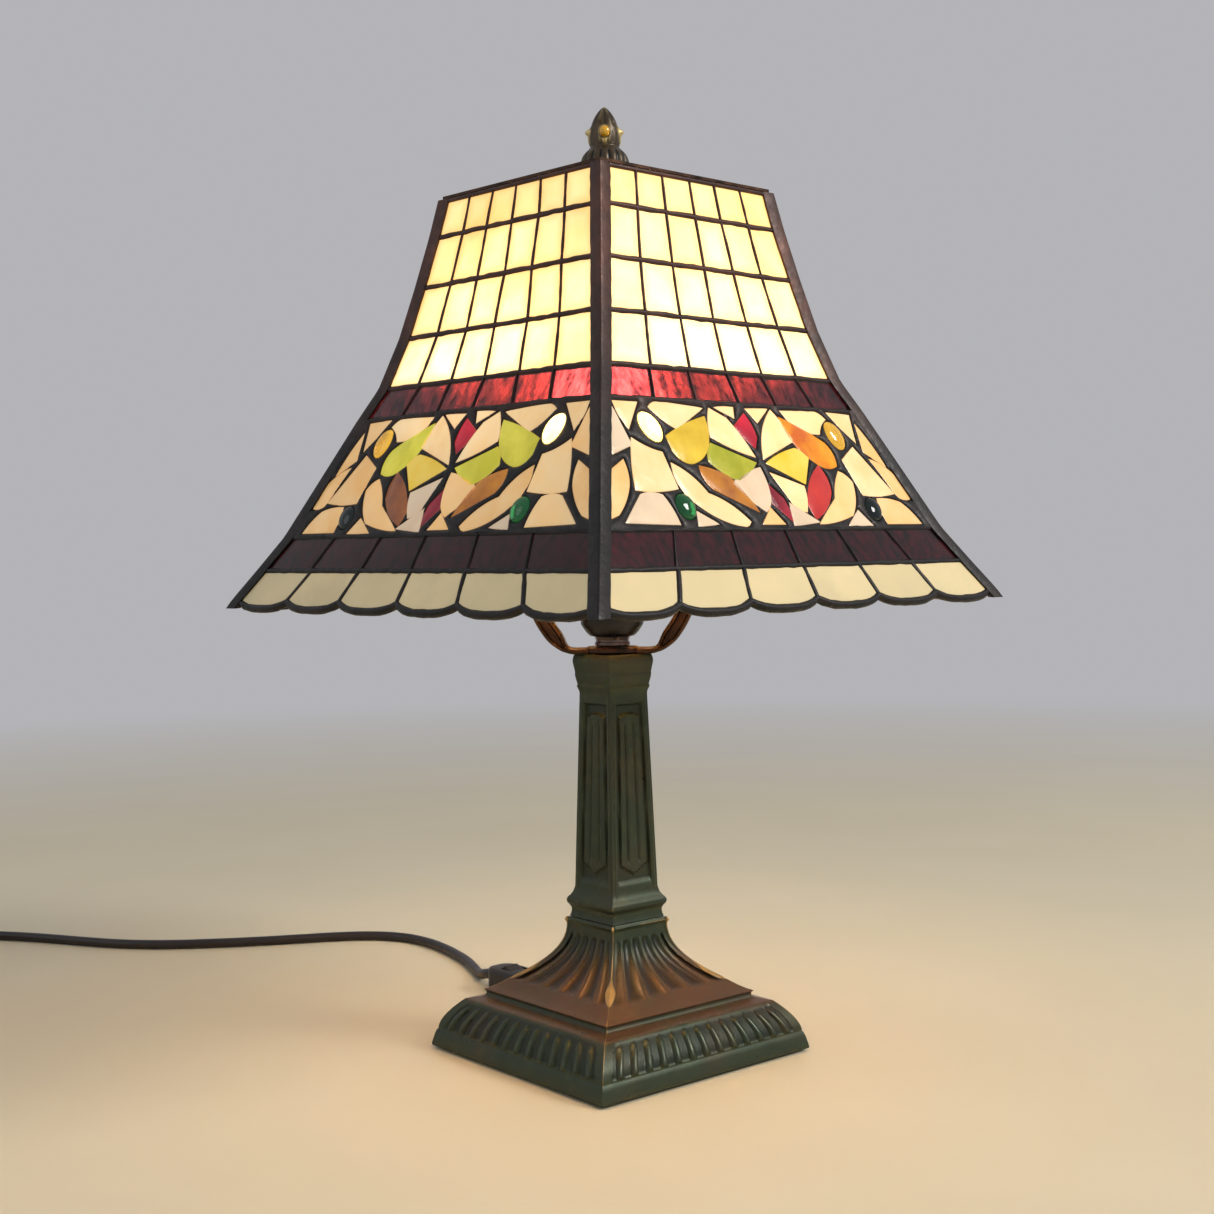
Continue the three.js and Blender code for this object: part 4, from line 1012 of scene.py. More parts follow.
def floral_row(side, hand, shape):
    """Glass, jewels and solder of the flower pattern on one side."""
    index = [name for name, _, _ in ROWS].index("floral")
    row = Row(index)
    glass = Shape()
    jewels = Shape()
    holes = []
    for right_glass, left_glass, corners in FLORAL:
        outline = inset(floral_outline(corners, hand), -PIECE_GROWTH)
        holes.append(outline)
        tints = [vary(tint, PIECE_VARIETY) for tint in (right_glass if hand > 0 else left_glass)]
        pane(glass, row, inset(outline, -PIECE_LAP), tints, PIECE_EDGE_SHADE)
    for jewel in JEWELS:
        holes.append(jewel_outline(jewel, hand))
        cabochon(jewels, row, jewel, hand)
    low, high = row.edge(0) + SOLDER_LAP, row.edge(row.slope) + SOLDER_LAP
    ends = [(-low, 0), (low, 0), (high, row.slope), (-high, row.slope)]
    region = []
    for start, end in zip(ends, ends[1:] + ends[:1]):
        region += straight(start, end, 5)[:-1]
    solder_field(shape, row, region, holes)
    glass.turned(side_turn(side))
    jewels.turned(side_turn(side))
    panel = f"floral_panel_{side}"
    make(f"floral_glass_{side}", glass, floral_glass, "shade", [panel])
    make(f"jewels_{side}", jewels, jewel_glass, "shade", [panel], 60)


LINE_SWAY = 0.22  # how far a level line may wander up or down


def long_lines(shape):
    """The level lines of lead between rows, along the folds of the side."""
    for line in range(1, len(lines) - 1):
        height, half = lines[line]
        above, below = Row(line - 1), Row(line)
        out = unit(above.out + below.out)
        reach = half - CAME_LEG + 1.5
        path = []
        for u, _ in straight((-reach, 0), (reach, 0), 5):
            sway = chance.uniform(-LINE_SWAY, LINE_SWAY)
            path.append(np.array([u, -half, height + sway]) - out * LEAD_MIDDLE)
        bead(shape, path, LINE_WIDTH, LEAD_HEIGHT + 0.3, out, 0.12)


def scalloped_edge(shape, low):
    """The rounded lead along the foot of the side, one arc to a tile."""
    row = Row(len(ROWS) - 1)
    path = []
    for i in range(TILES):
        edge = scallop(low[i], low[i + 1], SCALLOP_LIFT + 0.1)
        path += edge if i == TILES - 1 else edge[:-1]
    path = [row.place(u, v, LEAD_MIDDLE) for u, v in path]
    bead(shape, path, EDGE_WIDTH, LEAD_HEIGHT + 0.4, row.out, 0.1)


CAME_PROUD = 1.1  # how far the corner lead stands out past the corner
CAME_FOLD = 3.4  # how far its inner side lies inside the corner
CAME_BACK = 0.9  # depth of the edge of each leg
CAME_END = 0.3  # the corner lead stops this far from the top and foot of the shade
# Rounded outer corner of the lead, as shares of CAME_PROUD.
CAME_NOSE = [(-0.2, 0.98), (0.22, 0.95), (0.6, 0.82), (0.82, 0.6), (0.95, 0.22), (0.98, -0.2)]


def came_section(leg, proud):
    """Outline of the corner lead, out along one leg and back along the other."""
    section = [(leg, -CAME_BACK), (leg * 0.97, 0.1), (leg * 0.7, proud * 0.55), (leg * 0.35, proud * 0.8)]
    section += [(-x * proud, y * proud) for x, y in CAME_NOSE]
    section += [(-proud * 0.8, -leg * 0.35), (-proud * 0.55, -leg * 0.7), (-0.1, -leg * 0.97)]
    section += [(CAME_BACK, -leg), (CAME_FOLD, -leg * 0.92), (CAME_FOLD, -CAME_FOLD)]
    return section + [(leg * 0.92, -CAME_FOLD)]


def corner_came(side):
    """A rounded strip of lead folded over the corner between this side and the one before."""
    heights, halves = zip(*reversed(lines))
    rings = []
    for i, z in enumerate(np.linspace(heights[0] + CAME_END, SHADE_TOP - CAME_END, 60)):
        half = float(np.interp(z, heights, halves))
        swell = 1 + chance.uniform(-0.03, 0.03)
        proud = CAME_PROUD * min(1.0, (i + 0.7) / 2)
        rings.append([(x - half, -half - y, z) for x, y in came_section(CAME_WIDTH * swell, proud)])
    came = Shape()
    came.add(*join_rings(rings))
    came.turned(side_turn(side))
    make(f"corner_lead_{side}", came, lead, "shade", [f"corner_came_{side}"])


def add_side(side, hand):
    """Glass and lead of one side; `hand` is -1 where the flower pattern is mirrored."""
    leadwork = Shape()
    cream = tiled_rows(side, "cream", range(4), cream_glass, "cream_panel", 0.8)
    ruby = tiled_rows(side, "ruby", [4], ruby_glass, "ruby_strip", 1.4)
    garnet = tiled_rows(side, "garnet", [6], garnet_glass, "garnet_strip", 1.6)
    border = tiled_rows(side, "border", [7], border_glass, "border_panel", 0.9)
    for kind, uprights in (("cream", cream), ("ruby", ruby), ("garnet", garnet), ("border", border)):
        lead_for_tiles(leadwork, kind, uprights)
    floral_row(side, hand, leadwork)
    long_lines(leadwork)
    scalloped_edge(leadwork, border[0][1])
    leadwork.turned(side_turn(side))
    make(f"leadwork_{side}", leadwork, lead, "shade", [f"lead_net_{side}"], 50)
    corner_came(side)


def rounded_square(half, z, count, corner):
    """A level square ring with rounded corners."""
    reach = half - corner
    ring = []
    for k, (east, north) in enumerate([(1, -1), (1, 1), (-1, 1), (-1, -1)]):
        for i in range(count):
            a = k * math.pi / 2 - math.pi / 2 + math.pi / 2 * i / (count - 1)
            ring.append((reach * east + corner * math.cos(a), reach * north + corner * math.sin(a), z))
    return ring


RIM_BAND = 7.0  # width of the lead round the top of the shade
RIM_LAP = 0.4  # how far it stands out past the glass
RIM_SIDES = 20


def top_rim():
    top, low = cad_high("top_rim"), cad_low("top_rim")
    outer = SHADE_TOP_HALF + RIM_LAP
    middle = (top + low) / 2
    rise = (top - low) / 2
    rings = []
    for i in range(RIM_SIDES):
        a = 2 * math.pi * i / RIM_SIDES
        x = blunt(math.cos(a), 0.55) * RIM_BAND / 2
        y = blunt(math.sin(a), 0.75) * rise
        rings.append(rounded_square(outer - RIM_BAND / 2 + x, middle + y, 6, 1.2))
    shape = Shape()
    shape.add(*join_rings(rings, closed=True))
    make("top_rim_lead", shape.turned(SHADE_TURN), lead, "shade", ["top_rim"])


for number, side_name in enumerate(SIDES):
    add_side(side_name, -1 if number % 2 else 1)
top_rim()


# ---------------------------------------------------------------- finial
GEM_DIRECTION = math.radians(-130)
GEM_REACH = 8.8  # from the finial's axis to the middle of the stone
GEM_DEPTH = 2.1  # half the stone's thickness
GEM_POINTS = 28
FINIAL_RIBS = 8  # half the number of ribs round the dome
FINIAL_TIP = 0.25  # radius of the tip
# Radius at heights above the finial's foot: dome, neck, stem, then the bud.
FINIAL_PROFILE = [(9.4, 0), (12.2, 1.6), (13.3, 4.6), (13.2, 8), (11.8, 11.4), (9.2, 14), (7.9, 15.6)]
FINIAL_PROFILE += [(8.1, 17), (8.3, 21), (7.9, 25), (7.3, 27.4), (6.2, 30.4), (4.2, 33.8), (1.8, 36.6)]


def finial():
    """A ribbed dome, a stem with four leaves that curl outwards, and a bud with petals."""
    bottom = cad_low("finial")
    relief = []

    def wobble(angle, height):
        rise = height - bottom
        turn = angle - GEM_DIRECTION
        ribbing = np.abs(np.sin(FINIAL_RIBS * turn))
        on_dome = smooth(rise, 1.0, 3.5) * (1 - smooth(rise, 11.5, 14.5))
        on_stem = smooth(rise, 16, 17) * (1 - smooth(rise, 22, 23.5))
        on_bud = smooth(rise, 25.5, 28) * (1 - smooth(rise, 33.5, 36.8))
        ribs = -0.9 * ribbing**4 * on_dome
        grooves = -0.35 * ribbing**8 * on_stem
        petals = -0.55 * np.abs(np.cos(4 * turn)) ** 6 * on_bud
        quarter = np.mod(turn + math.pi / 4, math.pi / 2) - math.pi / 4
        under_gem = np.cos(turn) > 0.75
        curl = hump(rise, 23.8, 1.7) * np.where(under_gem, 0.25, 2.7)
        leaves = hump(quarter, 0, 0.27) * (curl + hump(rise, 19.5, 2.8) * 0.9)
        moved = ribs + petals + leaves + grooves
        relief.extend(np.clip(0.56 + 0.75 * moved, 0.0, 1.0))
        return moved

    corners = [(radius, bottom + rise) for radius, rise in FINIAL_PROFILE]
    corners.append((FINIAL_TIP, cad_high("finial")))
    rings = lathe(curve_through(corners, 5), 96, wobble)
    shape = Shape()
    shape.add(*join_rings(rings), relief=np.array(relief), warmth=0.5)
    make("finial_cast", shape, finial_bronze, "finial", ["finial"], 60)


def finial_gem():
    """A domed amber stone held in a turned-over collar on the near side of the finial."""
    low, high = cad_low("finial_gem"), cad_high("finial_gem")
    middle = (low + high) / 2
    size = (high - low) / 2
    circle = np.linspace(0, 2 * math.pi, GEM_POINTS, endpoint=False)
    rings = []
    for share in np.linspace(-1, 1, 13):
        radius = size * math.sqrt(max(1 - share * share, 0.003))
        x = GEM_REACH + share * GEM_DEPTH
        rings.append([(x, radius * 0.9 * math.cos(a), middle + radius * math.sin(a)) for a in circle])
    stone = Shape()
    stone.add_glass(rings, HONEY[::-1], 0.0)
    stone.turned(GEM_DIRECTION)
    make("finial_stone", stone, gem_glass, "finial", ["finial_gem"], 60)
    rings = []
    for a in circle:
        centre = np.array([8.7, size * 0.95 * math.cos(a), middle + size * 1.04 * math.sin(a)])
        outward = np.array([0, math.cos(a), math.sin(a)])
        ring = []
        for b in np.linspace(0, 2 * math.pi, 8, endpoint=False):
            ring.append(centre + outward * 0.55 * math.cos(b) + np.array([0.6, 0, 0]) * math.sin(b))
        rings.append(ring)
    holder = Shape()
    holder.add(*join_rings(rings, closed=True), relief=0.7, warmth=0.5)
    make("gem_collar", holder.turned(GEM_DIRECTION), finial_bronze, "finial")


gem_glass = art_glass(
    "gem_glass", glow=0.0, wisp_scale=300, edge=amber_edge_shade, Roughness=0.1, Coat_Weight=0.6
)
finial()
finial_gem()

# ---------------------------------------------------------------- harp, socket and bulb
HARP_TURN = math.radians(-43)
HARP_BAND = (13.0, 2.6)  # width and thickness
HARP_ARM_THICKNESS = 9.0  # low down, where the strap is folded into a channel
SADDLE_THICKNESS = 3.6
CHANNEL_WALL = 1.7
CHANNEL_DEPTH = 3.2
CHANNEL_FROM, CHANNEL_FULL = 3.6, 6.0  # strap thicknesses at which the channel starts and is full
STRAP_POINTS = 48  # round the strap's outline
SADDLE_DISC = 15.0  # radius of the disc under the socket
ROD_HOLE = 5.2  # radius of the hole for the threaded rod
STUD_PITCH = 0.8
SADDLE_HALF = 24.0
HARP_HALF_WIDTH = 54.0
SADDLE_LOW = cad_low("harp")
HARP_CROWN = cad_low("harp_seat_washer") - 0.3


def harp():
    """A bent strap with rounded edges, hollowed down both its sides where it is deep."""
    height = HARP_CROWN - SADDLE_LOW

    def at(x, share):
        return (x, 0, SADDLE_LOW + share * height)

    half = curve_through(
        [
            at(0, 0.005),
            at(SADDLE_HALF - 8, 0.005),
            at(SADDLE_HALF, 0.007),
            at(SADDLE_HALF + 5.5, 0.024),
            at(SADDLE_HALF + 15, 0.078),
            at(HARP_HALF_WIDTH - 8, 0.16),
            at(HARP_HALF_WIDTH, 0.33),
            at(HARP_HALF_WIDTH - 4, 0.58),
            at(HARP_HALF_WIDTH - 17, 0.81),
            at(HARP_HALF_WIDTH - 38, 0.96),
            at(4, 0.995),
            at(0, 0.996),
        ],
        7,
    )
    mirrored = half[1:-1][::-1] * np.array([-1, 1, 1])
    loop = np.vstack([half, mirrored])
    width, thick = HARP_BAND

    def section(deep):
        """The strap's outline across and through, hollowed down its two sides where it is deep."""
        outline = []
        hollow = smooth(deep, CHANNEL_FROM, CHANNEL_FULL) * CHANNEL_DEPTH
        edge = deep / 2 - CHANNEL_WALL
        for i in range(STRAP_POINTS):
            a = 2 * math.pi * (i + 0.5) / STRAP_POINTS
            x = blunt(math.cos(a), 0.3) * width / 2
            y = blunt(math.sin(a), 0.8) * deep / 2
            x -= math.copysign(hollow * (1 - smooth(abs(y), edge - 0.7, edge)), x)
            outline.append((x, y))
        return outline

    def thickness(point):
        """Thickness of the strap at a point of its middle line."""
        share = (point[2] - SADDLE_LOW) / height
        spread = smooth(abs(point[0]), SADDLE_HALF, SADDLE_HALF + 9)
        arm = SADDLE_THICKNESS + (HARP_ARM_THICKNESS - SADDLE_THICKNESS) * spread
        return float(arm + (thick - arm) * smooth(share, 0.13, 0.34))

    across = np.array([0, 1.0, 0])
    middle = np.array([0, 0, (SADDLE_LOW + HARP_CROWN) / 2])
    rings = []
    for i, point in enumerate(loop):
        along = unit(loop[(i + 1) % len(loop)] - loop[i - 1])
        inward = np.cross(across, along)
        if np.dot(inward, middle - point) < 0:
            inward = -inward
        rings.append([point + across * x + inward * y for x, y in section(thickness(point))])
    strap = Shape()
    strap.add(*join_rings(rings, closed=True))
    saddle_top = cad_low("socket_ring") - 0.3
    low_edge = [(ROD_HOLE, SADDLE_LOW), (SADDLE_DISC - 1, SADDLE_LOW), (SADDLE_DISC, SADDLE_LOW + 0.8)]
    top_edge = [(SADDLE_DISC, saddle_top - 0.8), (SADDLE_DISC - 1, saddle_top), (ROD_HOLE, saddle_top)]
    strap.add(*join_rings(lathe(low_edge + top_edge, 48), closed=True))
    boss = [(0, -5), (5.6, -4.6), (6.4, -3), (6.4, -0.6), (5.8, 0), (0, 0)]
    strap.add(*join_rings(lathe([(radius, HARP_CROWN + rise) for radius, rise in boss], 36)))
    stud_top = cad_high("harp")
    stud = [(0, HARP_CROWN - 1)]
    height_now = HARP_CROWN - 1
    while height_now < stud_top - 1.2:
        stud += [(2.55, height_now), (2.95, height_now + STUD_PITCH / 2)]
        height_now += STUD_PITCH
    stud += [(2.2, stud_top - 0.3), (1.6, stud_top), (0, stud_top)]
    strap.add(*join_rings(lathe(stud, 24)))
    make("harp_strap", strap.turned(HARP_TURN), copper, "root", ["harp"])


def turned_piece(name, profile, material, body, node, sides=56, closed=True):
    """A piece turned about the lamp's axis; a closed profile leaves a hole down its middle."""
    shape = Shape()
    shape.add(*join_rings(lathe(profile, sides), closed=closed))
    return make(name, shape, material, body, [node])


SOCKET_HOLE = 5.3
CUP_RADIUS = 17.4
CUP_BORE = 14.8
CUP_FLOOR = 4.2  # thickness of the socket's floor
CUP_GROOVES = 7
CUP_GROOVE_PITCH = 3.2
CAP_PITCH = 3.6  # of the rolled thread on the bulb's screw cap


def socket():
    """The ring under the socket, and the black socket with grooves round it."""
    low, high = cad_low("socket_ring"), cad_high("socket_ring")
    outer = (cad_high("socket_ring", 0) - cad_low("socket_ring", 0)) / 2
    wall = [(SOCKET_HOLE, low), (outer - 0.8, low), (outer, low + 0.7), (outer, low + 2.0)]
    wall += [(outer - 0.6, low + 2.4), (outer - 0.6, high - 1.4), (outer - 0.1, high - 1.0)]
    wall += [(outer - 0.3, high), (SOCKET_HOLE, high)]
    turned_piece("socket_collar", wall, collar, "root", "socket_ring")
    low, high = cad_low("socket_shell"), cad_high("socket_shell")
    cup = [(SOCKET_HOLE, low), (10.5, low), (12.6, low + 0.6), (14.4, low + 2.4), (16.2, low + 5)]
    height = low + 12
    cup += [(CUP_RADIUS, low + 7), (CUP_RADIUS, height)]
    wide, narrow = CUP_RADIUS - 0.05, CUP_RADIUS - 0.9
    for _ in range(CUP_GROOVES):
        cup += [(wide, height + 0.6), (narrow, height + 1.2), (narrow, height + 2.0), (wide, height + 2.6)]
        height += CUP_GROOVE_PITCH
    cup += [(wide, height + 1), (CUP_RADIUS - 0.1, high - 0.8), (CUP_RADIUS - 0.8, high)]
    cup += [(CUP_BORE + 0.5, high), (CUP_BORE, high - 0.6)]
    cup += [(CUP_BORE, low + CUP_FLOOR), (SOCKET_HOLE, low + CUP_FLOOR)]
    turned_piece("socket_cup", cup, black_socket, "root", "socket_shell")


def screw_profile(radius, low, high, pitch, depth):
    """Rolled threads between two heights."""
    line = []
    height = low
    while height < high - pitch / 2:
        for share in (0.0, 0.25, 0.5, 0.75):
            groove = depth * (0.5 + 0.5 * math.cos(2 * math.pi * share))
            line.append((radius - groove, height + share * pitch))
        height += pitch
    return line


def bulb():
    """A screw cap, and a pear-shaped envelope that ends in a ball."""
    low, high = cad_low("bulb_base"), cad_high("bulb_base")
    radius = (cad_high("bulb_base", 0) - cad_low("bulb_base", 0)) / 2
    base = [(0, low), (3.6, low), (4.6, low + 0.8), (7.5, low + 1.4), (radius - 1.6, low + 4.6)]
    base += screw_profile(radius, low + 5.4, high - 3.2, CAP_PITCH, 1.0)
    base += [(radius, high - 2.2), (radius, high), (0, high)]
    turned_piece("bulb_screw_cap", base, cap_metal, "bulb", "bulb_base", closed=False)
    low, high = cad_low("bulb_globe"), cad_high("bulb_globe")
    centre = BULB_CENTRE.z / MM
    size = high - centre
    neck = [(13.3, low + 0.5), (13.8, low + 8), (16.6, low + 20), (size * 0.74, centre - size * 0.7)]
    profile = [(0, low)] + list(curve_through(neck, 6))
    for angle in np.radians(np.linspace(-40, 88, 26)):
        profile.append((size * math.cos(angle), centre + size * math.sin(angle)))
    profile.append((0, high))
    globe = turned_piece(
        "bulb_envelope", profile, white_glass, "bulb", "bulb_globe", 72, closed=False
    )
    globe.visible_shadow = False


harp()
socket()
bulb()

# ---------------------------------------------------------------- column and foot
MITRE = 3.0  # how close to a corner the relief follows the mitre


def four_sides(x, y, z):
    """A level square ring, from the points of its front side."""
    ring = []
    for k in range(4):
        c, s = round(math.cos(k * math.pi / 2)), round(math.sin(k * math.pi / 2))
        ring.append(np.stack([c * x - s * y, s * x + c * y, np.full(len(x), z)], 1))
    return np.vstack(ring)


def square_body(levels, across, relief):
    """Rings round a square from (half side, height) levels, and the wear value of each point.
    `relief` gives the outward shift and the wear from the distance across a face, the half side
    and the height."""
    share = np.linspace(-1, 1, across, endpoint=False)
    rings = []
    worn = []
    for half, z in levels:
        x = share * half
        shift, wear = relief(x, half, z)
        near = np.clip(1 - (half - np.abs(x)) / MITRE, 0, 1)
        rings.append(four_sides(x + np.sign(x) * shift * near, -(half + shift), z))
        worn.append(np.tile(wear, 4))
    return rings, np.clip(np.concatenate(worn), 0, 1)


def circle_ring(radius, z, count):
    """A level circle whose points lie opposite those of a square ring."""
    a = np.linspace(0, 2 * math.pi, count, endpoint=False) - 3 * math.pi / 4
    return np.stack([radius * np.cos(a), radius * np.sin(a), np.full(count, z)], 1)


COLUMN_LOW = cad_low("column")
COLUMN_HIGH = cad_high("column")
SHAFT_LOW_HALF = 16.3
SHAFT_HIGH_HALF = 13.3
SHAFT_START = 17  # height of the foot moulding, under the plain shaft
SHAFT_END = 22  # height of the capital, above it
SHAFT_LEVELS = 84
# Half side at heights above the column's foot: a waist, then a ring.
COLUMN_FOOT = [(18.6, 0), (18.1, 1.6), (17.8, 3.4), (17.9, 5.0), (18.6, 6.4), (19.4, 7.4), (19.8, 8.5)]
COLUMN_FOOT += [(19.8, 9.7), (19.2, 10.9), (18.1, 12.2), (17.2, 13.8), (16.7, 15.4), (16.3, 17)]
# Half side at depths below the column's top: a neck ring, then the flared capital.
CAPITAL = [(13.3, 22), (13.5, 20.6), (14.0, 19.2), (14.35, 18.2), (14.3, 17.7), (14.05, 17.3)]
CAPITAL += [(14.2, 16.2), (14.8, 13.4), (15.05, 11.6), (15.05, 11.1), (14.95, 10.6), (15.1, 9.4)]
CAPITAL += [(15.5, 6.8), (15.85, 4.8), (15.9, 3.8), (15.7, 2.2), (15.35, 0.9), (14.9, 0)]
PANEL_START = 19.0  # height of the sunk panel's foot
PANEL_END = 27  # depth of its head below the column's top
PANEL_SINK = 1.7
PANEL_BORDER = 4.0
STRIP_BORDER = 2.6  # from the edge of the panel to the raised strip in it
STRIP_RISE = 1.5
STRIP_GROOVE = 1.1


def column_relief(x, half, z):
    """A sunk panel with a raised strip in it, which is pointed at its foot and has two grooves."""
    rise = z - COLUMN_LOW
    length = COLUMN_HIGH - COLUMN_LOW
    side = np.abs(x)
    edge_wear = smooth(side, half - 1.2, half - 0.2)
    start, end = PANEL_START, length - PANEL_END
    inner = half - PANEL_BORDER
    in_panel = smooth(rise, start, start + 4.5) * (1 - smooth(rise, end - 1.2, end))
    panel = (1 - smooth(side, inner - 0.5, inner + 0.3)) * in_panel
    rib = hump(side - half, -2.2, 0.55) * smooth(rise, 14, 18) * (1 - smooth(rise, end, end + 5))
    strip_half = inner - STRIP_BORDER
    tip = start + 6.5 + 5.5 * side / max(strip_half, 1)
    crown = end - 5.5 - 1.5 * side / max(strip_half, 1)
    in_strip = smooth(rise - tip, -0.5, 0.5) * (1 - smooth(rise - crown, -0.5, 0.5))
    strip = (1 - smooth(side, strip_half - 0.45, strip_half + 0.35)) * in_strip
    grooves_on = smooth(rise - tip, 3, 6) * (1 - smooth(rise - crown, -7, -3))
    grooves = hump(side, strip_half * 0.42, 0.75) * grooves_on
    shift = 0.45 * rib - PANEL_SINK * panel + STRIP_RISE * strip - STRIP_GROOVE * grooves
    wear = 0.36 + 0.16 * edge_wear + 0.05 * strip - 0.2 * grooves - 0.13 * (panel - strip)
    lip = 1.6 * hump(rise, 9.2, 1.2) + hump(length - rise, 4.3, 1.5) + hump(length - rise, 18.4, 0.9)
    return shift, wear + 0.16 * lip


def column():
    levels = [(half, COLUMN_LOW + rise) for half, rise in COLUMN_FOOT]
    shaft_length = COLUMN_HIGH - SHAFT_END - COLUMN_LOW - SHAFT_START
    for share in np.linspace(0.012, 0.988, SHAFT_LEVELS):
        half = SHAFT_LOW_HALF + (SHAFT_HIGH_HALF - SHAFT_LOW_HALF) * share
        levels.append((half, COLUMN_LOW + SHAFT_START + share * shaft_length))
    levels += [(half, COLUMN_HIGH - drop) for half, drop in CAPITAL]
    rings, worn = square_body(levels, 84, column_relief)
    shape = Shape()
    shape.add(*join_rings(rings), relief=worn, warmth=0.0)
    make("column_cast", shape, bronze, "root", ["column"], 40)


FOOT_HALF = 75.0
FOOT_ACROSS = 220  # points across one side of the foot
FOOT_ROOF = 33.5  # height of the hollow under the foot
PLINTH_TOP = 11.0
OVOLO_TOP = 28.0
SLOPE_TOP = 39.5
COVE_TOP_HALF = 19
# Half side at heights up the foot: the plinth, then the flat above the ovolo, the step and slope.
PLINTH = [(73.8, 1.0), (74.7, 1.3), (FOOT_HALF, 2.0), (74.6, 4.0), (73.6, 8.0), (72.8, 10.2), (72.1, 11.0)]
STEP = [(60.3, 28.2), (58.8, 28.5), (57.0, 28.8), (55.2, 29.1), (54.0, 29.5), (53.1, 30.1)]
STEP += [(52.6, 31.2), (52.5, 32.1), (52.8, 32.6), (53.3, 32.9), (53.4, 33.4), (52.8, 33.8)]
STEP += [(51.2, 34.4), (49.4, 35.4), (47.4, 36.6), (45.4, 38.0), (44.2, 38.9), (43.5, 39.5)]
FOOT_HOLLOW = [(47, FOOT_ROOF), (55, 22.2), (64, 14.0), (66, 1.0)]
REEDS = 13  # reeds along one side of the ovolo
REED_HALF = 0.23  # half width of a reed, as a share of the distance between reeds
FLUTES = 5  # flutes up one side of the cove
FOOT_BEAD = 0.955  # share of the way up the cove where a bead runs round it
# Share of brown on the foot at several heights: brown patina, with painted warm light from the bulb on the
# ledge and slope that face up, and little on the upright riser.
FOOT_BROWN_AND_WARM_LIGHT = (
    [0, 27, 28.3, 29.3, 29.8, 32.5, 32.9, 48, 62, 74],
    [0.0, 0.05, 0.8, 0.8, 0.15, 0.15, 0.9, 0.8, 0.2, 0.0],
)


def foot_relief(x, half, z):
    """Reeds round the ovolo, then flutes that fan up the cove between worn ridges, painted lighter low
    down where the bulb's light catches them, with a tongue up each corner and a bead near the top."""
    side = np.abs(x)
    shift = np.zeros_like(x)
    corner = half - side
    wear = 0.34 + 0.42 * (1 - smooth(corner, 0.25, 1.0)) * float(smooth(z, 6, 11))
    if PLINTH_TOP < z < OVOLO_TOP:
        share = (z - PLINTH_TOP) / (OVOLO_TOP - PLINTH_TOP)
        reach = half - 6.5
        phase = (x / reach) * REEDS / 2
        away = np.abs(phase - np.round(phase)) / REED_HALF
        arch = 0.84 - 0.1 * np.clip(away, 0, 1) ** 2
        band = float(smooth(share, 0.05, 0.1)) * (1 - smooth(share, arch - 0.06, arch + 0.02))
        reed = np.clip(1 - away**2, 0, 1) ** 0.5 * (side < reach) * band
        trough = float(smooth(share, 0.03, 0.1) * (1 - smooth(share, 0.86, 0.95))) * (side < reach)
        shift += 1.9 * reed - 0.6 * trough
        wear = wear + 0.14 * reed - 0.16 * trough
    if SLOPE_TOP < z:
        share = (z - SLOPE_TOP) / (cad_high("foot") - SLOPE_TOP)
        band = float(smooth(share, 0.0, 0.03) * (1 - smooth(share, 0.7, 0.78)))
        moulding = hump(share, FOOT_BEAD, 0.035)
        shift += 0.9 * moulding
        wear = wear + 0.34 * moulding
        reach = half - 2.4 - 1.4 * (1 - share)
        phase = (x / reach) * FLUTES / 2
        away = phase - np.round(phase - 0.5) - 0.5
        flute = np.clip(1 - (np.abs(away) * 2 / 0.72) ** 2, 0, 1) ** 0.7
        ridge = np.clip(1 - np.abs(np.abs(away) - 0.43) / 0.08, 0, 1)
        depth = 2.3 * (1 - 0.6 * share)
        inside_fan = 1 - smooth(side, reach - 0.4, reach)
        shift -= depth * flute * band * inside_fan
        shift += 0.3 * ridge * band * inside_fan
        # painted highlight: the ridges low on the cove are lighter where the bulb's light catches them,
        # over their wear
        low_ridge_light = 1 - float(smooth(share, 0.12, 0.4))
        wear = wear + band * inside_fan * ((0.04 + 0.3 * low_ridge_light) * ridge - 0.2 * flute)
        spear = 0.9 + 2.6 * hump(share, 0.12, 0.1)
        tongue = 1 - smooth(corner, spear - 0.5, spear + 0.4)
        shift += 0.85 * tongue * float(smooth(share, 0.0, 0.06))
        wear = np.maximum(wear, tongue * (0.86 - 0.5 * smooth(share, 0.15, 0.6)))
    return shift, wear


def foot():
    levels = list(PLINTH)
    for share in np.linspace(0.04, 1, 22):
        half = 72.2 - 11.2 * share**1.7
        levels.append((half, PLINTH_TOP + share * (OVOLO_TOP - PLINTH_TOP)))
    levels += STEP
    top = cad_high("foot")
    for share in np.linspace(0.015, 1, 44):
        half = COVE_TOP_HALF + 24.3 * max(1 - share / 0.92, 0) ** 2.2
        levels.append((half, SLOPE_TOP + share * (top - SLOPE_TOP)))
    rings, worn = square_body(levels, FOOT_ACROSS, foot_relief)
    count = len(rings[0])
    flat = np.linspace(-1, 1, FOOT_ACROSS, endpoint=False)
    inside_rings = [circle_ring(ROD_HOLE, z, count) for z in (top, FOOT_ROOF)]
    inside_rings += [four_sides(flat * half, -half, z) for half, z in FOOT_HOLLOW]
    worn = np.concatenate([worn, np.full(len(inside_rings) * count, 0.2)])
    points, faces = join_rings(rings + inside_rings, closed=True)
    # brown by height: patina, with painted warm light from the bulb on the faces that look up
    warmth = np.interp(np.array(points)[:, 2], *FOOT_BROWN_AND_WARM_LIGHT)
    shape = Shape()
    shape.add(points, faces, relief=worn, warmth=warmth)
    make("foot_cast", shape, bronze, "root", ["foot"], 40)


column()
foot()


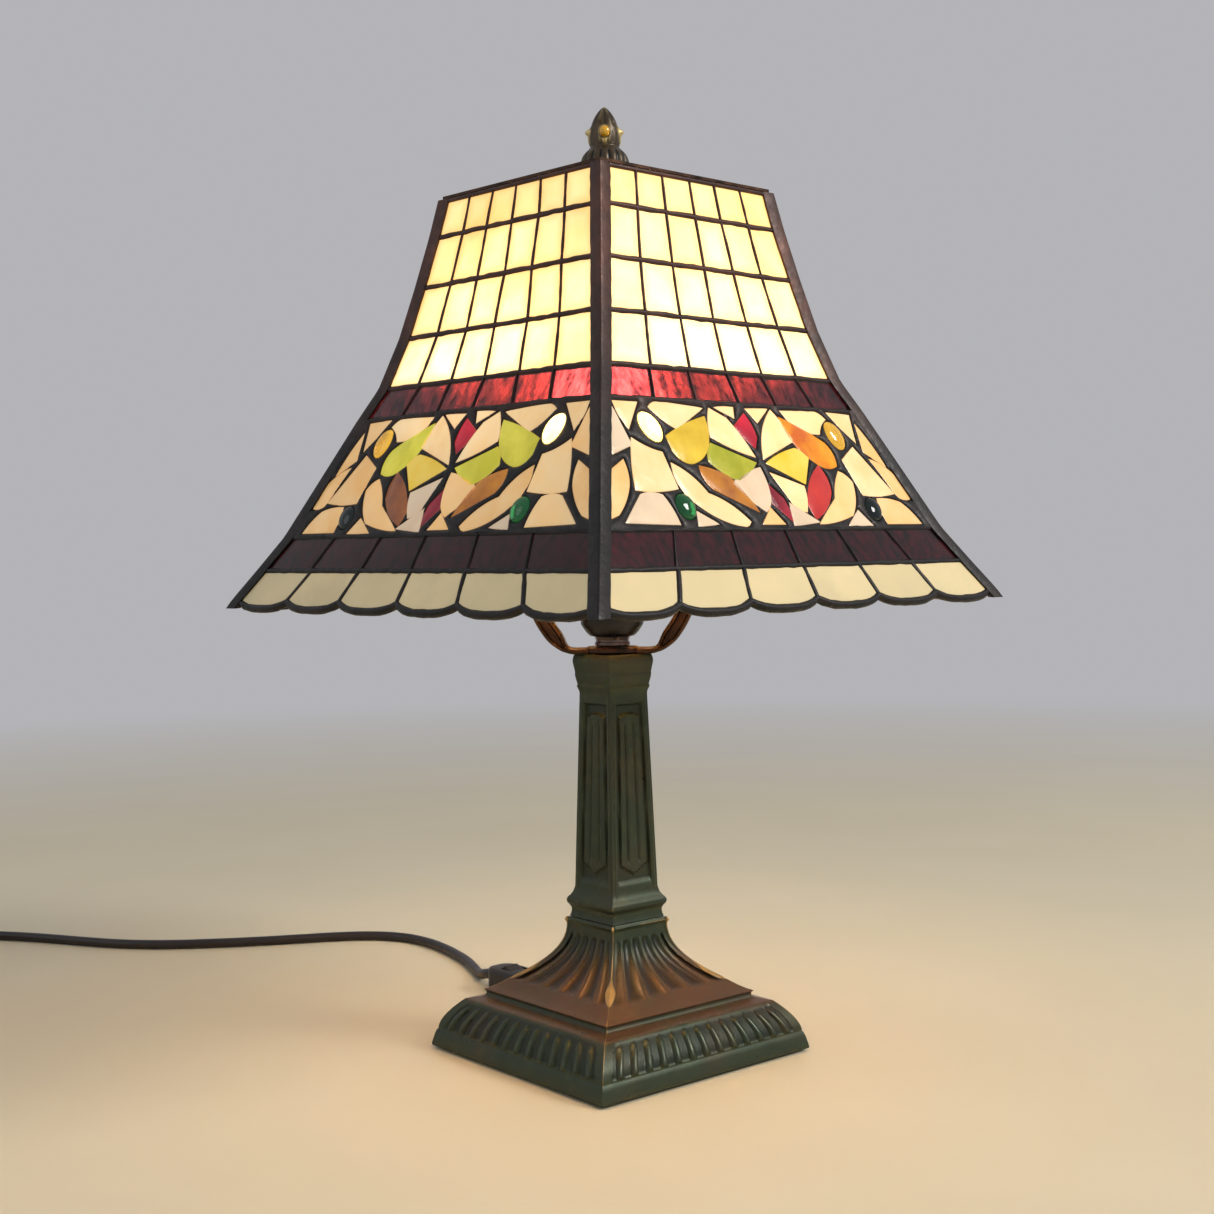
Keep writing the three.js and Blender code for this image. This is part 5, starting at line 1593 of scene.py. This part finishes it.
# ---------------------------------------------------------------- strain relief, switch and plug
def superellipse(width, height, power, count=32):
    """Points round an ellipse; above 2, the power makes it a rounded oblong."""
    angles = [2 * math.pi * i / count for i in range(count)]
    return [
        (blunt(math.cos(a), 2 / power) * width / 2, blunt(math.sin(a), 2 / power) * height / 2)
        for a in angles
    ]


BOOT_RIBS = 6
BOOT_PITCH = 3.2


def strain_relief():
    """A round ribbed boot on the line on which the lead leaves the foot."""
    start = cad_low("strain_relief", 1)
    sizes = [(start, 8.2), (75.2, 8.2), (75.3, 11.4), (76.4, 11.6), (77.6, 11.2), (78.0, 9.8)]
    y = 78.6
    for i in range(BOOT_RIBS):
        size = 9.7 - 0.34 * i
        sizes += [(y, size), (y + 1.9, size - 0.1), (y + 2.1, size - 1.3), (y + 3.0, size - 1.4)]
        y += BOOT_PITCH
    sizes += [(y, 7.4), (EXIT[1], 7.1)]
    rings = []
    for y, size in sizes:
        rings.append([(EXIT[0] + a, y, EXIT[2] + b) for a, b in superellipse(size, size, 2)])
    shape = Shape()
    shape.add(*join_rings(rings))
    make("strain_relief_boot", shape, black_plastic, "root", ["strain_relief"])


SEAM = (0.5, 0.975)  # half height of the seam round the switch, and its width as a share
POCKET = (6.1, 9.1, 5.5)  # half width, half length and depth of the rocker's pocket
ROCKER = (5.4, 7.9)  # half width and half length
ROCKER_TILT = math.radians(8)
ROCKER_END = 3.3  # height of the rocker's raised ends above its pivot


def rocker_outline(soft):
    """The rocker seen from its side: two raised ends with finger ridges and a dip between them.
    `soft` falls to 0 at the rocker's side faces, where it is a little lower."""
    half = ROCKER[1]
    end = ROCKER_END * (0.8 + 0.2 * soft)
    outline = [(-half + 2, -1.6), (half - 2, -1.6), (half - 0.3, 2.6), (half - 0.8, end)]
    for share in np.linspace(0.88, -0.88, 17):
        dip = 1.9 + 1.45 * abs(share) ** 1.3
        ridge = 0.22 * abs(math.sin(share * 14)) if 0.3 < abs(share) < 0.8 else 0
        outline.append((half * share, (dip + ridge) * (0.82 + 0.18 * soft)))
    return outline + [(-half + 0.8, end), (-half + 0.3, 2.6)]


def switch():
    """An in-line switch case with a seam, and a rocker in its pocket."""
    start, end = cad_low("switch_body", 1), cad_high("switch_body", 1)
    low, high = cad_low("switch_body"), cad_high("switch_body")
    width = cad_high("switch_body", 0) - cad_low("switch_body", 0)
    middle_z = (low + high) / 2
    centre = (start + end) / 2
    pocket_width, pocket_length, pocket_depth = POCKET
    rings = []
    for share in np.linspace(-1, 1, 49):
        end_round = (1 - abs(share) ** 7) ** 0.5
        taper = 1 - 0.36 * smooth(abs(share), 0.55, 1.0)
        wide = width * taper * (0.35 + 0.65 * end_round)
        tall = (high - low) * (0.42 + 0.58 * end_round)
        y = centre + share * (end - start) / 2
        section = []
        for a, b in superellipse(wide, tall, 5, 48):
            if abs(b) < SEAM[0]:
                a *= SEAM[1]
            in_pocket = abs(a) < pocket_width and abs(y - centre) < pocket_length
            if in_pocket and b > tall / 2 - 1.2:
                b -= pocket_depth
            section.append((EXIT[0] + a, y, middle_z + b))
        rings.append(section)
    body = Shape()
    body.add(*join_rings(rings))
    make("switch_case", body, black_plastic, "root", ["switch_body"])
    pivot = Vector((EXIT[0], centre, high - 2.5))
    tilt = Matrix.Rotation(ROCKER_TILT, 4, "X")
    rings = []
    for share in np.linspace(-1, 1, 13):
        soft = (1 - abs(share) ** 8) ** 0.5
        x = share * ROCKER[0]
        rings.append([tuple(pivot + tilt @ Vector((x, y, z))) for y, z in rocker_outline(soft)])
    rocker = Shape()
    rocker.add(*join_rings(rings))
    make("switch_key", rocker, black_plastic, "switch_rocker", ["switch_rocker"])


PLUG_START = 62.3  # distance of the plug from the coil


def at_plug(points):
    """Points with +X along the plug, moved to the end of the lead's tail."""
    x0, y0, _ = beside_coil(COIL_OUTER_TURN, -PLUG_START, 0)
    a = LEAD_HEADING + math.pi / 2
    c, s = math.cos(a), math.sin(a)
    return [(x0 + c * x - s * y, y0 + s * x + c * y, z) for x, y, z in points]


PLUG_LENGTH = 36.0
PLUG_HEIGHT = 17.0
BLADE_OFFSET = 6.35  # from the plug's middle to the middle of a blade
BLADE = [(36.2, 1.5, 6.3), (48, 1.5, 6.3), (51.2, 1.3, 5.4), (52.2, 0.8, 4.4)]  # place, width, height


def plug():
    """A moulded two-blade plug with grip ridges and a short ribbed boot."""
    middle = PLUG_HEIGHT / 2
    sections = [(0.0, 8.6, 8.6, 2), (0.6, 9.6, 9.6, 2)]
    for i in range(4):
        x = 1.4 + 2.4 * i
        size = 10.2 + i * 1.1
        sections += [(x, size, size * 0.96, 2.2), (x + 1.4, size + 0.4, size, 2.2)]
        sections += [(x + 1.6, size - 0.8, size - 1.0, 2.2), (x + 2.3, size - 0.6, size - 0.8, 2.2)]
    for share in np.linspace(0, 1, 16):
        x = 11.4 + share * (PLUG_LENGTH - 12.4)
        width = 15.2 + 8.8 * smooth(share, 0.0, 0.45)
        height = 13.4 + 3.4 * smooth(share, 0.0, 0.4)
        ridge = -0.5 if 0.42 < share < 0.84 and round(share * 15) % 2 else 0.0
        sections.append((x, width + ridge, height + ridge, 3.6))
    sections += [(PLUG_LENGTH - 0.5, 23.6, 16.6, 3.8), (PLUG_LENGTH, 22.6, 15.6, 3.8)]
    rings = []
    for x, width, height, power in sections:
        ring = [(x, a, middle + b) for a, b in superellipse(width, height, power, 40)]
        rings.append(at_plug(ring))
    shape = Shape()
    shape.add(*join_rings(rings))
    body = make("plug_moulding", shape, black_plastic, "root", ["plug_body"])
    blades = []
    for name, side in (("left", -1), ("right", 1)):
        rings = []
        for x, width, height in BLADE:
            outline = superellipse(width, height, 6, 16)
            rings.append(at_plug([(x, side * BLADE_OFFSET + a, middle + b) for a, b in outline]))
        shape = Shape()
        shape.add(*join_rings(rings))
        node = f"plug_blade_{name}"
        blades.append(make(f"plug_pin_{name}", shape, plug_metal, "root", [node]))
    return [body] + blades


STRAP_INNER, STRAP_OUTER, STRAP_TOP = 23.9, 46.9, 14.2  # where the strap runs, from the coil's axis
STRAP_SECTION = (7, 1.1)  # width and thickness


def coil_tie():
    """A hook-and-loop strap astride the coil."""
    angle = LEAD_HEADING + 5 * math.pi / 6
    inner, outer, top = STRAP_INNER, STRAP_OUTER, STRAP_TOP
    path = [(inner, 0.4), (inner, 4), (inner, 9), (inner + 1.2, 12.6), (inner + 4.5, top)]
    path += [(30, top + 0.1), (38, top + 0.1), (outer - 4.5, top), (outer - 1.2, 12.6)]
    path += [(outer, 9), (outer, 4), (outer, 0.4)]
    line = curve_through([(x, 0, z) for x, z in path], 4)
    outline = superellipse(*STRAP_SECTION, 5, 20)
    rings = []
    for i, point in enumerate(line):
        along = unit(line[min(i + 1, len(line) - 1)] - line[max(i - 1, 0)])
        away = np.array([-along[2], 0, along[0]])
        rings.append([tuple(point + np.array([0, a, 0]) + away * b) for a, b in outline])
    shape = Shape()
    shape.add(*join_rings(rings))
    shape.turned(angle)
    x0, y0 = COIL_CENTRE
    shape.points = [(x0 + x, y0 + y, z) for x, y, z in shape.points]
    return make("coil_strap", shape, black_plastic, "root", ["coil_tie"])


strain_relief()
switch()
plug_pieces = plug()
strap = coil_tie()

# ---------------------------------------------------------------- CAD pieces that stay
KEPT_FINISHES = {
    "felt_pad": green_felt,
    "bottom_plate": steel,
    "ballast_weight": iron,
    "foot_washer": steel,
    "foot_nut": steel,
    "threaded_rod": steel,
    "harp_seat_washer": copper,
    "socket_screw_shell": brass,
    "inner_lead": lead_sheath,
    "vented_cap": copper,
}
for node_name, kept_finish in KEPT_FINISHES.items():
    kept_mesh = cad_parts[node_name].data
    kept_mesh.materials.clear()
    kept_mesh.materials.append(kept_finish)


# ---------------------------------------------------------------- stage and light
BACKDROP = srgb(206, 206, 210)
BACKDROP_STRENGTH = 0.74
FLOOR_FADE = (0.9, 2.2)  # distances from the lamp between which the floor fades into the backdrop
FLOOR_HALF = 6.0
FLOOR_DROP = 0.0002  # the floor lies this far under the felt pad


def add_floor():
    """A plain pale floor that fades into the backdrop far from the lamp."""
    mesh = bpy.data.meshes.new("floor")
    corners = [(x * FLOOR_HALF, y * FLOOR_HALF, 0) for x, y in ((-1, -1), (1, -1), (1, 1), (-1, 1))]
    mesh.from_pydata(corners, [], [(0, 1, 2, 3)])
    finish = Finish("floor", Roughness=0.5, Specular_IOR_Level=0.25)
    cloud = finish.noise(6, 3)
    finish.drive("Base Color", finish.mix(cloud, srgb(206, 195, 166), srgb(214, 203, 176)))
    here = finish.node("TexCoord").outputs["Object"]
    away = finish.node("VectorMath", {0: here}, operation="LENGTH").outputs["Value"]
    fade = finish.level(away, *FLOOR_FADE)
    backdrop = finish.node("Emission", {"Color": BACKDROP, "Strength": BACKDROP_STRENGTH})
    shaders = {0: fade, 1: finish.shader.outputs[0], 2: backdrop.outputs[0]}
    surface = finish.tree.nodes["Material Output"].inputs["Surface"]
    finish.tree.links.new(finish.node("MixShader", shaders).outputs[0], surface)
    mesh.materials.append(finish.material)
    floor = bpy.data.objects.new("floor", mesh)
    floor.location.z = -FLOOR_DROP
    bpy.context.scene.collection.objects.link(floor)


def add_light(name, kind, place, aim, energy, colour, size):
    """A lamp at a place, turned towards `aim` where one is given; `size` is how large it shines."""
    data = bpy.data.lights.new(name, kind)
    data.energy = energy
    data.color = colour
    if kind == "AREA":
        data.shape = "DISK"
        data.size = size
    else:
        data.shadow_soft_size = size
    light = bpy.data.objects.new(name, data)
    light.location = place
    if aim is not None:
        light.rotation_euler = (Vector(aim) - Vector(place)).to_track_quat("-Z", "Y").to_euler()
    bpy.context.scene.collection.objects.link(light)
    return light


def add_world():
    world = bpy.data.worlds.new("studio")
    world.use_nodes = True
    background = world.node_tree.nodes["Background"]
    background.inputs["Color"].default_value = BACKDROP
    background.inputs["Strength"].default_value = BACKDROP_STRENGTH
    bpy.context.scene.world = world


add_floor()
add_world()
add_light("key", "AREA", (0.9, -1.7, 1.5), (0, 0, 0.2), energy=34, colour=(1.0, 0.98, 0.95), size=0.8)
add_light("fill", "AREA", (-1.9, 0.6, 1.2), (0, 0, 0.25), energy=4, colour=(0.92, 0.95, 1.0), size=1.4)
add_light("bulb_light", "POINT", BULB_CENTRE, None, energy=0.5, colour=(1.0, 0.88, 0.72), size=0.024)
bpy.context.scene.view_settings.view_transform = "Standard"
